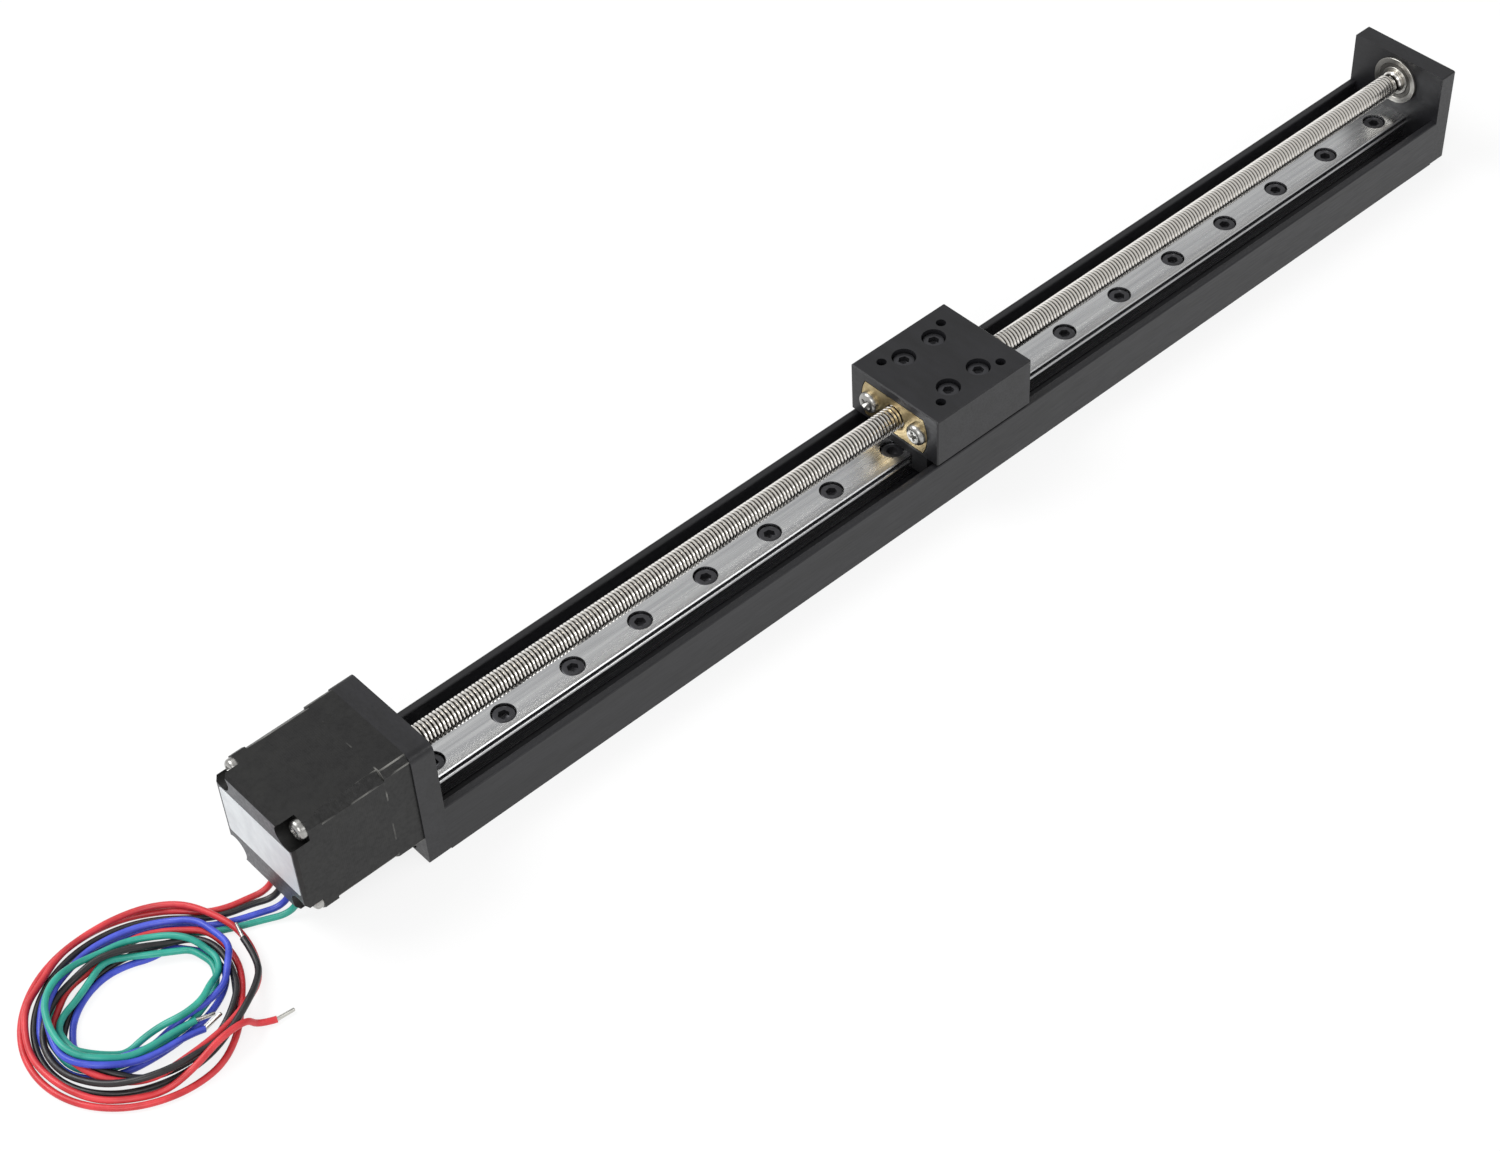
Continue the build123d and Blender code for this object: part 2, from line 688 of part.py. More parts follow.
# Wires, from the grommet down to the floor and into the coil that they lie in
red_route = [
    exit_point(0), (-185.8, 3.3, 3.4), (-188.5, 3.8, 1.0), (-192.3, 4.9, 0.78), (-196.6, 5.9, 0.78),
    (-201.0, 8.2, 0.8), (-204.4, 11.3, 0.85)
]
black_route = [
    exit_point(1), (-185.8, 0.3, 3.4), (-188.5, 1.1, 1.0), (-192.3, 3.1, 0.78), (-196.7, 4.2, 0.78),
    (-201.3, 6.4, 0.8), (-204.7, 9.6, 0.85)
]
blue_route = [
    exit_point(2), (-185.8, -2.7, 3.4), (-188.6, -1.9, 1.0), (-192.5, -0.1, 0.78), (-197.1, 1.7, 0.78),
    (-201.8, 4.2, 0.8), (-205.5, 7.6, 0.85)
]
green_route = [
    exit_point(3), (-185.8, -5.7, 3.4), (-188.7, -4.6, 1.0), (-192.8, -2.3, 0.78), (-197.6, -0.1, 0.78),
    (-202.5, 2.5, 0.8), (-206.4, 6.0, 0.85)
]


def wire(name, route):
    """A tube along straight runs that are joined by arcs as large as the runs allow."""
    points = [Vector(*point) for point in route]
    runs = [after - before for before, after in zip(points, points[1:])]
    radii = [
        wire_arc_share * min(before.length, after.length) / tan(radians(before.get_angle(after) / 2))
        for before, after in zip(runs, runs[1:])
    ]
    with BuildPart() as tube:
        with BuildLine() as path:
            FilletPolyline(*points, radius=radii)
        with BuildSketch(Plane(origin=points[0], z_dir=runs[0])):
            Circle(wire_radius)
        sweep()
    path_length = path.wire().length
    filled = tube.part.volume / (path_length * pi * wire_radius ** 2)
    print(name, "radii", [round(radius, 1) for radius in radii])
    print(name, "length", round(path_length, 1), "volume over section times length", round(filled, 4))
    return tube


wire_red = wire("wire_red", red_route)
wire_black = wire("wire_black", black_route)
wire_blue = wire("wire_blue", blue_route)
wire_green = wire("wire_green", green_route)

# Loose coil of the four wires, on the floor behind the motor
coil_ring_corner = coil_ring_roundness * min(coil_ring_length, coil_ring_width) / 2
coil_hole_corner = coil_hole_roundness * min(coil_hole_length, coil_hole_width) / 2
with BuildPart() as wire_coil:
    with BuildSketch(Plane.XY):
        with Locations((x_motor_rear - coil_ring_reach, coil_ring_side)):
            RectangleRounded(coil_ring_length, coil_ring_width, coil_ring_corner)
            RectangleRounded(coil_hole_length, coil_hole_width, coil_hole_corner, mode=Mode.SUBTRACT)
    extrude(amount=coil_ring_height)
    chamfer(wire_coil.edges().group_by(Axis.Z)[-1], coil_ring_chamfer)

pieces = {
    "base_channel": base_channel,
    "motor_plate": motor_plate,
    "end_plate": end_plate,
    "linear_rail": linear_rail,
    "rail_screws": rail_screws,
    "motor_plate_screws": motor_plate_screws,
    "end_plate_screws": end_plate_screws,
    "motor_mount_screws": motor_mount_screws,
    "end_bearing_outer_ring": end_bearing_outer_ring,
    "end_bearing_inner_ring": end_bearing_inner_ring,
    "end_bearing_shields": end_bearing_shields,
    "front_bearing_outer_ring": front_bearing_outer_ring,
    "front_bearing_inner_ring": front_bearing_inner_ring,
    "front_bearing_shields": front_bearing_shields,
    "rear_bearing_outer_ring": rear_bearing_outer_ring,
    "rear_bearing_inner_ring": rear_bearing_inner_ring,
    "rear_bearing_shields": rear_bearing_shields,
    "rear_preload_washer": rear_preload_washer,
    "motor_front_bell": motor_front_bell,
    "motor_rear_bell": motor_rear_bell,
    "motor_stator": motor_stator,
    "motor_coils": motor_coils,
    "motor_through_screws": motor_through_screws,
    "wire_grommet": wire_grommet,
    "wire_red": wire_red,
    "wire_black": wire_black,
    "wire_blue": wire_blue,
    "wire_green": wire_green,
    "wire_coil": wire_coil,
    "lead_screw": lead_screw,
    "rotor_stack_front": rotor_stack_front,
    "rotor_stack_rear": rotor_stack_rear,
    "rotor_magnet": rotor_magnet,
    "carriage_block": carriage_block,
    "carriage_cap_screws": carriage_cap_screws,
    "lead_nut": lead_nut,
    "nut_screws": nut_screws,
    "rail_block": rail_block,
    "block_end_caps": block_end_caps,
    "block_end_seals": block_end_seals,
}
os.makedirs("parts", exist_ok=True)
for name, piece in pieces.items():
    piece.part.label = name
    export_step(piece.part, f"parts/{name}.step")
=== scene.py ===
# %% [markdown]
# # A lead screw linear slide
#
# A stepper motor turns a lead screw, which drives a carriage along a miniature rail in a black
# channel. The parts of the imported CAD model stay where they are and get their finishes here. The
# pieces that need finer work, such as the thread and the wires, are made below in their place.

import bmesh
import bpy
import math
import numpy as np
from mathutils import Matrix, Vector


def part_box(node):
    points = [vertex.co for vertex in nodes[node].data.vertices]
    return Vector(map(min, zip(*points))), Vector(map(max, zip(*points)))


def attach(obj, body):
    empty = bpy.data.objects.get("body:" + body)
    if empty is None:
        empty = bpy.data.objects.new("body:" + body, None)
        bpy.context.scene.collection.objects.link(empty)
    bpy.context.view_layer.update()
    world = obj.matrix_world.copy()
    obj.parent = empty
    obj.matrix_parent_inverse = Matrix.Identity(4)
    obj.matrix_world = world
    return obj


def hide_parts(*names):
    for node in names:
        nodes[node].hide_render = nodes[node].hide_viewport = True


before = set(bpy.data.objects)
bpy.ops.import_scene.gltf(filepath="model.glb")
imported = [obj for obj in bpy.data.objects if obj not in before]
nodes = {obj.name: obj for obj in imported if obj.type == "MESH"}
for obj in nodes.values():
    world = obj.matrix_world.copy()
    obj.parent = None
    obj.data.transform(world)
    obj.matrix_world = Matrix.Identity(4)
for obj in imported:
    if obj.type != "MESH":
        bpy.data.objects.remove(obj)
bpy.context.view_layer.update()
print("CAD pieces:", len(nodes))

# %% [markdown]
# ## Camera
#
# The slide is seen from above its motor end. A long lens, far away, keeps the long edges nearly
# parallel. The view was found by matching the rail's evenly spaced screws, which pins down both
# the distance and the lens. The angles are degrees: the camera turns about the vertical, looks
# down, and leans a little.

# %% Camera
camera_place = (-0.3526, -0.3633, 0.4872)
heading, looks_down, leans = -39.71, 45.83, -3.65


def in_scene(name, data):
    """Makes an object from its data and links it to the scene."""
    made = bpy.data.objects.new(name, data)
    bpy.context.scene.collection.objects.link(made)
    return made


camera_data = bpy.data.cameras.new("view")
camera_data.lens = 69.2
camera_data.sensor_width = 36
camera_data.clip_start = 0.01
camera = in_scene("view", camera_data)
camera.matrix_world = (Matrix.Translation(camera_place)
                       @ Matrix.Rotation(math.radians(heading), 4, "Z")
                       @ Matrix.Rotation(math.radians(90 - looks_down), 4, "X")
                       @ Matrix.Rotation(math.radians(leans), 4, "Z"))
bpy.context.scene.camera = camera
print("looks along", [round(x, 3) for x in -camera.matrix_world.col[2].xyz])


# %% [markdown]
# ## Helpers for materials
#
# A finish is a Principled shader, and a few textures that change its roughness, its colour or
# its bump. Colours are written as they look on a screen, so they are turned into linear light
# once, in one place. One small function adds a node with its settings and links. The others say
# what a pattern does to the shader, so each recipe below is a few lines.

# %% Colour and node helpers
def linear(hexcode):
    """A screen colour such as 8a8d92 as linear light, with full opacity."""
    parts = [int(hexcode[i:i + 2], 16) / 255 for i in (0, 2, 4)]
    return tuple(c / 12.92 if c <= 0.04045 else ((c + 0.055) / 1.055) ** 2.4 for c in parts) + (1,)


def shader_of(material):
    """The Principled shader of a material."""
    return material.node_tree.nodes["Principled BSDF"]


def blank_finish(name, colour, metallic=0.0, roughness=0.5, specular=0.5):
    """A new material whose shader has its flat values set."""
    material = bpy.data.materials.new(name)
    material.use_nodes = True
    material.diffuse_color = linear(colour)
    flat = {"Base Color": linear(colour), "Metallic": metallic, "Roughness": roughness,
            "Specular IOR Level": specular}
    for socket, value in flat.items():
        shader_of(material).inputs[socket].default_value = value
    return material


def add(material, kind, settings=None, *values, **links):
    """Adds a node. Settings go to the node or its named sockets, values to its sockets in their
    order, each a number or another node's output, and links name a socket and its source."""
    node = material.node_tree.nodes.new(kind)
    for key, value in (settings or {}).items():
        if key in node.inputs:
            node.inputs[key].default_value = value
        else:
            setattr(node, key, value)
    for socket, value in zip(node.inputs, values):
        if isinstance(value, bpy.types.NodeSocket):
            material.node_tree.links.new(value, socket)
        else:
            socket.default_value = value
    for key, source in links.items():
        material.node_tree.links.new(source, node.inputs[key.replace("_", " ")])
    return node


def join(material, source, socket):
    """Links a texture's output to one of the shader's sockets."""
    material.node_tree.links.new(source, shader_of(material).inputs[socket])


def coordinates(material, location=(0, 0, 0), scale=(1, 1, 1)):
    """Object coordinates, scaled and then moved."""
    place = add(material, "ShaderNodeTexCoord").outputs["Object"]
    return add(material, "ShaderNodeMapping", {"Location": location, "Scale": scale},
               Vector=place).outputs["Vector"]


def speckle(material, size_mm, stretch=(1, 1, 1), detail=3):
    """Noise with grains about size_mm across, stretched along an axis."""
    scale = tuple(1000 / (size_mm * s) for s in stretch)
    noise = add(material, "ShaderNodeTexNoise", {"Scale": 1.0, "Detail": detail},
                Vector=coordinates(material, scale=scale))
    return noise.outputs["Fac"]


def uneven_gloss(material, source, smooth, rough, start=0.3, end=0.7):
    """Lets a pattern's middle range take the roughness from smooth to rough."""
    gloss = add(material, "ShaderNodeMapRange",
                {"From Min": start, "From Max": end, "To Min": smooth, "To Max": rough},
                Value=source)
    join(material, gloss.outputs["Result"], "Roughness")


def relief(material, source, height_mm, strength):
    """A bump of the given height."""
    bump = add(material, "ShaderNodeBump", {"Distance": height_mm / 1000, "Strength": strength},
               Height=source)
    join(material, bump.outputs["Normal"], "Normal")


def tinted(material, source, dark, light, start=0.35, end=0.65):
    """Colours that run from dark to light with a pattern."""
    ramp = add(material, "ShaderNodeValToRGB", Fac=source)
    for element, place, colour in zip(ramp.color_ramp.elements, (start, end), (dark, light)):
        element.position, element.color = place, linear(colour)
    join(material, ramp.outputs["Color"], "Base Color")


print("half grey on a screen is", round(linear("808080")[0], 3), "in linear light")

# %% [markdown]
# ## Insulation of the wires
#
# The wires have a soft plastic insulation: it is dyed right through, a little glossy, and its
# skin is never quite even where it was handled. A gentle change of colour over a few millimetres
# and a very low bump give that. Each wire gets the same recipe with its own dye. The bare ends
# are strands of tinned copper, 0.15 mm across, so a bump of that width runs along them.

# %% Insulation and tinned strands
def insulation(name, dark, light):
    """Soft dyed plastic: slightly shiny, with faint handling marks."""
    material = blank_finish(name, light, roughness=0.38)
    tinted(material, speckle(material, 6), dark, light)
    uneven_gloss(material, speckle(material, 1.5), 0.3, 0.46)
    relief(material, speckle(material, 0.9), 0.02, 0.35)
    return material


wire_colours = {
    "red": insulation("red insulation", "b8282e", "d4383e"),
    "black": insulation("black insulation", "161517", "242325"),
    "blue": insulation("blue insulation", "2f3fae", "4757cc"),
    "green": insulation("green insulation", "1d8a7a", "2fa592"),
}
tinned = blank_finish("tinned strands", "c9c8c2", metallic=1.0, roughness=0.34)
relief(tinned, speckle(tinned, 0.15, (6, 1, 1)), 0.03, 0.6)
print("wire finishes:", sorted(wire_colours))

# %% [markdown]
# ## The four wires
#
# The wires leave the motor through a rubber grommet under its rear bell, drop to the floor, run
# back side by side, and lie in a loose coil of nearly three turns. A wire is one NURBS curve with
# a round bevel, because it is one length of something flexible, and the curve pulls its points
# smooth. The points of the lead, in millimetres, are the CAD's. A loop adds the coil's turns.

# %% Lead of each wire, from the grommet to the coil
wire_diameter = 0.0015
wire_radius = wire_diameter / 2
coil_centre = Vector((-0.2247, -0.0030))
leads = {
    "red": [(-185.8, 3.3, 6.2), (-185.8, 3.3, 3.4), (-188.5, 3.8, 1.0), (-192.3, 4.9, 0.78),
            (-196.6, 5.9, 0.78), (-201.0, 8.2, 0.8), (-204.4, 11.3, 0.85)],
    "black": [(-185.8, 0.3, 6.2), (-185.8, 0.3, 3.4), (-188.5, 1.1, 1.0), (-192.3, 3.1, 0.78),
              (-196.7, 4.2, 0.78), (-201.3, 6.4, 0.8), (-204.7, 9.6, 0.85)],
    "blue": [(-185.8, -2.7, 6.2), (-185.8, -2.7, 3.4), (-188.6, -1.9, 1.0), (-192.5, -0.1, 0.78),
             (-197.1, 1.7, 0.78), (-201.8, 4.2, 0.8), (-205.5, 7.6, 0.85)],
    "green": [(-185.8, -5.7, 6.2), (-185.8, -5.7, 3.4), (-188.7, -4.6, 1.0), (-192.8, -2.3, 0.78),
              (-197.6, -0.1, 0.78), (-202.5, 2.5, 0.8), (-206.4, 6.0, 0.85)],
}
print("points of each lead:", {wire: len(lead) for wire, lead in leads.items()})

# %% [markdown]
# ## How the coil lies
#
# From above, each turn is a rounded loop in a lane between the coil's inner edge, lane 0, and its
# outer edge, lane 1. It changes lane as it goes round, as wires do that were wound by hand. The
# lanes are given at each quarter turn: top, left, bottom and right. A wire leaves the coil at its
# last angle, in degrees, and its tail's last place is the tip of its bare strands. A B-spline of
# order three is made of short spans, one round each control point, and a few shares of a span say
# where the wire is between them.

# %% Lanes of the coil at each quarter turn
points_per_turn = 22
lanes = {
    "red": [1.00, 1.00, 1.00, 0.10, 0.07, 0.40, 0.36, 0.90, 0.50, 0.84, 1.09, 1.30],
    "black": [0.86, 0.70, 0.71, 0.50, 0.43, 0.20, 0.86, 0.70, 0.29, 0.60, 0.64, 1.10],
    "blue": [0.71, 0.90, 0.50, 0.70, 0.29, 0.00, 0.21, 1.04, 0.93, 0.30, 0.08, 0.00],
    "green": [0.57, 0.50, 0.86, 0.30, 0.64, 0.70, 0.07, 0.50, 0.79, 0.10, -0.06, 0.00],
}
last_angle = {"red": 1020, "black": 1058, "blue": 976, "green": 972}
tails = {"red": [(-0.2098, -0.0236), (-0.2060, -0.0252), (-0.2016, -0.0257)],
         "black": [(-0.1998, -0.0050), (-0.1987, -0.0007)],
         "blue": [(-0.2216, -0.0166), (-0.2184, -0.0171), (-0.2140, -0.0178)],
         "green": [(-0.2222, -0.0148), (-0.2190, -0.0153), (-0.2146, -0.0160)]}
inner_edge = (0.0179, 0.0124)
band_width = (0.0072, 0.0110)
laying_order = ("black", "red", "blue", "green")
contact = wire_diameter * 1.03
lowest = wire_radius + 0.00003
span_shares = [(i + 0.5) / 8 for i in range(8)]


def lane_at(wire, angle):
    """The wire's lane at an angle in degrees, eased from one quarter turn to the next."""
    values = lanes[wire]
    quarter = max(0, angle / 90 - 1)
    first = min(int(quarter), len(values) - 2)
    ease = min(1, quarter - first)
    ease = ease * ease * (3 - 2 * ease)
    return values[first] * (1 - ease) + values[first + 1] * ease


def coil_place(angle, lane):
    """The place of a lane at an angle in degrees, seen from above."""
    reach_x, reach_y = (edge + band * lane for edge, band in zip(inner_edge, band_width))
    angle = math.radians(angle)
    return coil_centre + Vector((reach_x * math.cos(angle), reach_y * math.sin(angle)))


def curve_span(before, middle, after):
    """The places of the wire's smooth curve that belong to one control point."""
    start, end = (before + middle) / 2, (middle + after) / 2
    return [start * (1 - t) ** 2 + middle * 2 * t * (1 - t) + end * t * t for t in span_shares]


print("coil's outer edge:", [round(2000 * (edge + band), 1)
                             for edge, band in zip(inner_edge, band_width)], "mm across")

# %% [markdown]
# A wire that is laid by hand slips sideways off the ones under it, into the lowest place near its
# lane. So each new control point tries a few places beside its lane, and takes the lowest that
# isn't far off or outside the coil's band. Near its tail the wire goes back to its lane. All four
# go round together. The pulls say how many millimetres of height a stray of one lane is worth.

# %% Lay the wires side by side, and let them slip
lane_step = 0.08
outermost_lane = 1.1
tail_points = 9
pull_to_lane, pull_near_tail, pull_to_band, price_of_step = 0.4, 6, 6, 0.05
lead_in = 14

angles = {}
for wire, lead in leads.items():
    start = Vector(lead[-1][:2]) / 1000 - coil_centre
    first = math.degrees(math.atan2(start.y, start.x)) + lead_in
    count = round((last_angle[wire] - first) / 360 * points_per_turn)
    angles[wire] = [first + (last_angle[wire] - first) * i / count for i in range(count + 1)]
routes = {wire: [Vector(p) / 1000 for p in lead] for wire, lead in leads.items()}
laid = np.zeros((0, 5))


def resting_height(wire_number, index, path):
    """How high a wire would lie along a path, on the wires that are there already."""
    there = laid[(laid[:, 3] != wire_number) | (index - laid[:, 4] >= points_per_turn // 2)]
    if not len(there):
        return lowest
    path = np.array([place[:2] for place in path])
    across = np.hypot(path[:, None, 0] - there[None, :, 0], path[:, None, 1] - there[None, :, 1])
    rise = np.sqrt(np.maximum(contact ** 2 - across ** 2, 0))
    return max(lowest, np.where(across < contact, there[None, :, 2] + rise, lowest).max())


strayed = dict.fromkeys(leads, 0.0)
for index in range(max(map(len, angles.values()))):
    for wire_number, wire in enumerate(laying_order):
        if index >= len(angles[wire]):
            continue
        angle, route = angles[wire][index], routes[wire]
        near_tail = index > len(angles[wire]) - tail_points
        pull = pull_near_tail if near_tail else pull_to_lane
        choices = []
        for move in (-2, -1, 0, 1, 2):
            stray = strayed[wire] + lane_step * move
            lane = lane_at(wire, angle) + stray
            place = coil_place(angle, lane)
            path = curve_span(route[-2].xy, route[-1].xy, place)
            height = resting_height(wire_number, index, path)
            outside = max(0, -lane, lane - outermost_lane)
            cost = pull * stray ** 2 + price_of_step * abs(move) + pull_to_band * outside ** 2
            choices.append((height * 1000 + cost, height, stray, place))
        _, height, strayed[wire], place = min(choices, key=lambda choice: choice[0])
        route.append(Vector((place.x, place.y, height)))
        fresh = curve_span(route[-3], route[-2], route[-1])
        laid = np.vstack([laid, [(*p, wire_number, index) for p in fresh]])
for wire, places in tails.items():
    routes[wire] += [Vector((*place, lowest)) for place in places]
print("control points:", {wire: len(route) for wire, route in routes.items()})

# %% [markdown]
# With the view from above settled, the heights are worked out afresh. Where two stretches of wire
# overlap, the one laid later must pass over the other. All control points start on the floor, and
# each round lifts those whose wire still cuts into one below it, by just what is missing. The
# curve spreads the lift, so every crossing is a long, low hump. The leads keep their heights, but
# for their last point. The bare strands are straight, and count too, so that none pierces a wire.

# %% Lift the wires where they cross
most_rounds = 40
close_enough = 0.00001
main_part = 0.3
span_parts = [((1 - t) ** 2 / 2, 1 - (1 - t) ** 2 / 2 - t * t / 2, t * t / 2) for t in span_shares]
strand_parts = [(0, (1 - t) / 2, (1 + t) / 2) for t in (0.2, 0.5, 0.8, 1.0)]

samples, points, parts, numbers = [], [], [], []
first_point = {}
total = 0
for wire_number, wire in enumerate(laying_order):
    route = routes[wire]
    first_point[wire] = total
    spans = [(i, part) for i in range(len(route) - 2) for part in span_parts]
    for i, part in spans + [(len(route) - 3, part) for part in strand_parts]:
        samples.append(sum((route[i + j].xy * part[j] for j in range(3)), Vector((0, 0))))
        points.append([total + i, total + i + 1, total + i + 2])
        parts.append(part)
        numbers.append(wire_number)
    total += len(route)
samples, points, parts, numbers = (np.array(v) for v in (samples, points, parts, numbers))

around = np.arctan2(samples[:, 1] - coil_centre.y, samples[:, 0] - coil_centre.x)
for wire_number in range(len(laying_order)):
    own = numbers == wire_number
    around[own] = np.unwrap(around[own])
between = samples[:, None] - samples[None]
apart = np.hypot(between[..., 0], between[..., 1])
turns_later = np.round((around[:, None] - around[None]) / (2 * np.pi))
later = (turns_later >= 1) | ((turns_later == 0) & (numbers[:, None] > numbers[None]))
upper, lower = np.nonzero(later & (apart < contact))
rise = np.sqrt(contact ** 2 - apart[upper, lower] ** 2)

heights = np.full(total, lowest)
for round_number in range(most_rounds):
    for wire, lead in leads.items():
        kept = [p.z for p in routes[wire][:len(lead) - (round_number > 0)]]
        heights[first_point[wire]:first_point[wire] + len(kept)] = kept
    now = (heights[points] * parts).sum(1)
    missing = np.zeros(len(samples))
    np.maximum.at(missing, upper, now[lower] + rise - now[upper])
    if missing.max() < close_enough:
        break
    lift = np.zeros(total)
    for j in range(3):
        np.maximum.at(lift, points[:, j], missing * (parts[:, j] > main_part))
    heights += lift
for wire, route in routes.items():
    for i in range(len(leads[wire]) - 1, len(route)):
        route[i].z = heights[first_point[wire] + i]
tips = {wire: route.pop() for wire, route in routes.items()}
print("rounds:", round_number, "highest wire:", round(now[points[:, 0] > 0].max() * 1000, 2), "mm")


# %% [markdown]
# ## The wires as curves
#
# A curve with a round bevel is the simplest tube: its points are the route, and Blender keeps its
# section round through every bend. The spline's order and its end points are set after the
# points are in, because an empty spline can't take an order of three. Each wire ends in a short
# length of tinned strands where its insulation was stripped: a slim cone, a little flattened,
# whose wide end starts inside the wire.

# %% Helpers for the wires
strand_radius = 0.0005
strand_overlap = 0.0003


def mesh_from(name, shape):
    """Turns a bmesh into a mesh, and frees it."""
    mesh = bpy.data.meshes.new(name)
    shape.to_mesh(mesh)
    shape.free()
    return mesh


def finished_piece(name, shape, material, body, smooth_angle=35):
    """Turns a bmesh into a piece that rides on a body, with its flat faces kept crisp."""
    mesh = mesh_from(name, shape)
    mesh.materials.append(material)
    mesh.shade_smooth()
    mesh.set_sharp_from_angle(angle=math.radians(smooth_angle))
    piece = in_scene(name, mesh)
    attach(piece, body)
    return piece


def wire_length(route):
    """The length of the smooth curve through a route."""
    line = [route[0]]
    for before, middle, after in zip(route, route[1:], route[2:]):
        line += curve_span(before, middle, after)
    line.append(route[-1])
    return sum((b - a).length for a, b in zip(line, line[1:]))


def wire_curve(wire):
    """One wire, from the grommet to its stripped end."""
    route = routes[wire]
    data = bpy.data.curves.new("wire_" + wire + "_cord", "CURVE")
    data.dimensions = "3D"
    data.bevel_depth = wire_radius
    data.bevel_resolution = 4
    data.resolution_u = 6
    data.use_fill_caps = True
    spline = data.splines.new("NURBS")
    spline.points.add(len(route) - 1)
    for point, place in zip(spline.points, route):
        point.co = (*place, 1)
    spline.order_u = 3
    spline.use_endpoint_u = True
    data.materials.append(wire_colours[wire])
    return in_scene("wire_" + wire + "_cord", data)


def stripped_end(wire):
    """The tinned strands from a wire's end to its tip."""
    end = routes[wire][-1]
    direction = tips[wire] - end
    length = direction.length
    shape = bmesh.new()
    bmesh.ops.create_cone(shape, cap_ends=True, segments=14, radius1=strand_radius,
                          radius2=strand_radius * 0.9, depth=length)
    rim = [e for e in shape.edges if all(v.co.z > 0 for v in e.verts)]
    bmesh.ops.bevel(shape, geom=rim, offset=strand_radius * 0.4, segments=2, profile=0.5,
                    affect="EDGES", material=-1)
    bmesh.ops.translate(shape, verts=shape.verts, vec=(0, 0, length / 2 - strand_overlap))
    bmesh.ops.scale(shape, verts=shape.verts, vec=(0.8, 1.1, 1))
    place = Matrix.Translation(end) @ direction.to_track_quat("Z", "Y").to_matrix().to_4x4()
    bmesh.ops.transform(shape, matrix=place, verts=shape.verts)
    return finished_piece("wire_" + wire + "_strands", shape, tinned, "base")


# %% Make the wires and their stripped ends
for wire in wire_colours:
    piece = wire_curve(wire)
    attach(piece, "base")
    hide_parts("wire_" + wire, "wire_coil")
    strands = stripped_end(wire)
    length = wire_length(routes[wire])
    print(wire, "wire", round(length * 1000), "mm")

# %% [markdown]
# ## Finishes of the metal parts
#
# The channel, the two plates and the carriage are black anodised aluminium: a dyed oxide skin,
# dark, satin, and a little streaky along the way the bar was drawn. The lines that the tool left
# are a few hundredths of a millimetre apart, too fine to show. They are drawn 0.16 mm apart in a
# very low bump, and the streaks that the eye makes of them go into the roughness.

# %% Anodised aluminium
def anodised(name, stretch):
    """Black anodised aluminium whose fine lines run along one axis."""
    material = blank_finish(name, "19191c", roughness=0.4, specular=0.4)
    tinted(material, speckle(material, 3.5, stretch), "161618", "1d1d20")
    uneven_gloss(material, speckle(material, 0.5, stretch), 0.33, 0.47)
    relief(material, speckle(material, 0.16, stretch, 2), 0.006, 0.5)
    return material


drawn_black = anodised("black anodised, drawn", (14, 1, 1))
milled_black = anodised("black anodised, milled", (1, 3, 1))
print("finishes:", drawn_black.name, "and", milled_black.name)

# %% [markdown]
# The rail is ground steel. The wheel leaves fine lines along it, so its reflections are sharp
# along the rail and blurred across it. Real lines are micrometres apart. They are drawn 0.3 mm
# apart here, as a noise stretched along the rail, so that they show at all. The bump is under a
# micrometre, which breaks the reflections into long, thin streaks. The bearings' rings are ground
# too, and their shields are pressed from sheet and duller.

# %% Ground and pressed steel
ground = blank_finish("ground steel", "cfd0d1", metallic=1.0, roughness=0.2)
tinted(ground, speckle(ground, 1.1, (40, 1, 1)), "c0c1c3", "dcdddd", 0.3, 0.7)
uneven_gloss(ground, speckle(ground, 0.35, (60, 1, 1)), 0.22, 0.34)
relief(ground, speckle(ground, 0.3, (90, 1, 1), 2), 0.0008, 0.5)

ring_steel = blank_finish("bearing rings", "a3a19c", metallic=1.0, roughness=0.34)
uneven_gloss(ring_steel, speckle(ring_steel, 1.2), 0.3, 0.4)

pressed = blank_finish("pressed shields", "6d6b67", metallic=1.0, roughness=0.42)
uneven_gloss(pressed, speckle(pressed, 0.8), 0.36, 0.5)
print("finishes:", ground.name, ring_steel.name, pressed.name, sep=", ")

# %% [markdown]
# The thread was rolled, which leaves a bright, slightly wavy surface. Its colour follows the
# distance from the screw's axis: painted shade darkens the roots, and a painted highlight
# brightens the crests. The brass nut was turned on a lathe, and the fine rings on its face run
# round the same
# axis: a Mapping node moves the middle of both patterns there. Real rings are about 0.1 mm apart,
# too fine to show, so they are drawn at 0.8 mm. A wave texture repeats 20 times in 2 pi units.

# %% Rolled thread and turned brass
screw_height = 0.0206
# Radii where the painted shade of the roots ends and the painted highlight of the crests is full.
root_shade_radius, crest_highlight_radius = 0.00245, 0.00285
wave_period = 2 * math.pi / 20
ring_spacing = 0.0008

rolled = blank_finish("rolled thread", "eae7e1", metallic=1.0, roughness=0.24)
across_bar = coordinates(rolled, (0, 0, -screw_height), (0, 1, 1))
from_axis = add(rolled, "ShaderNodeVectorMath", {"operation": "LENGTH"}, across_bar)
# From the roots to the crests: painted shade, then a painted highlight.
depth = add(rolled, "ShaderNodeMapRange", {"From Min": root_shade_radius, "From Max": crest_highlight_radius},
            Value=from_axis.outputs["Value"])
tinted(rolled, depth.outputs["Result"], "3c3934", "f4f1ec", 0.1, 0.9)
uneven_gloss(rolled, speckle(rolled, 0.5), 0.14, 0.26)

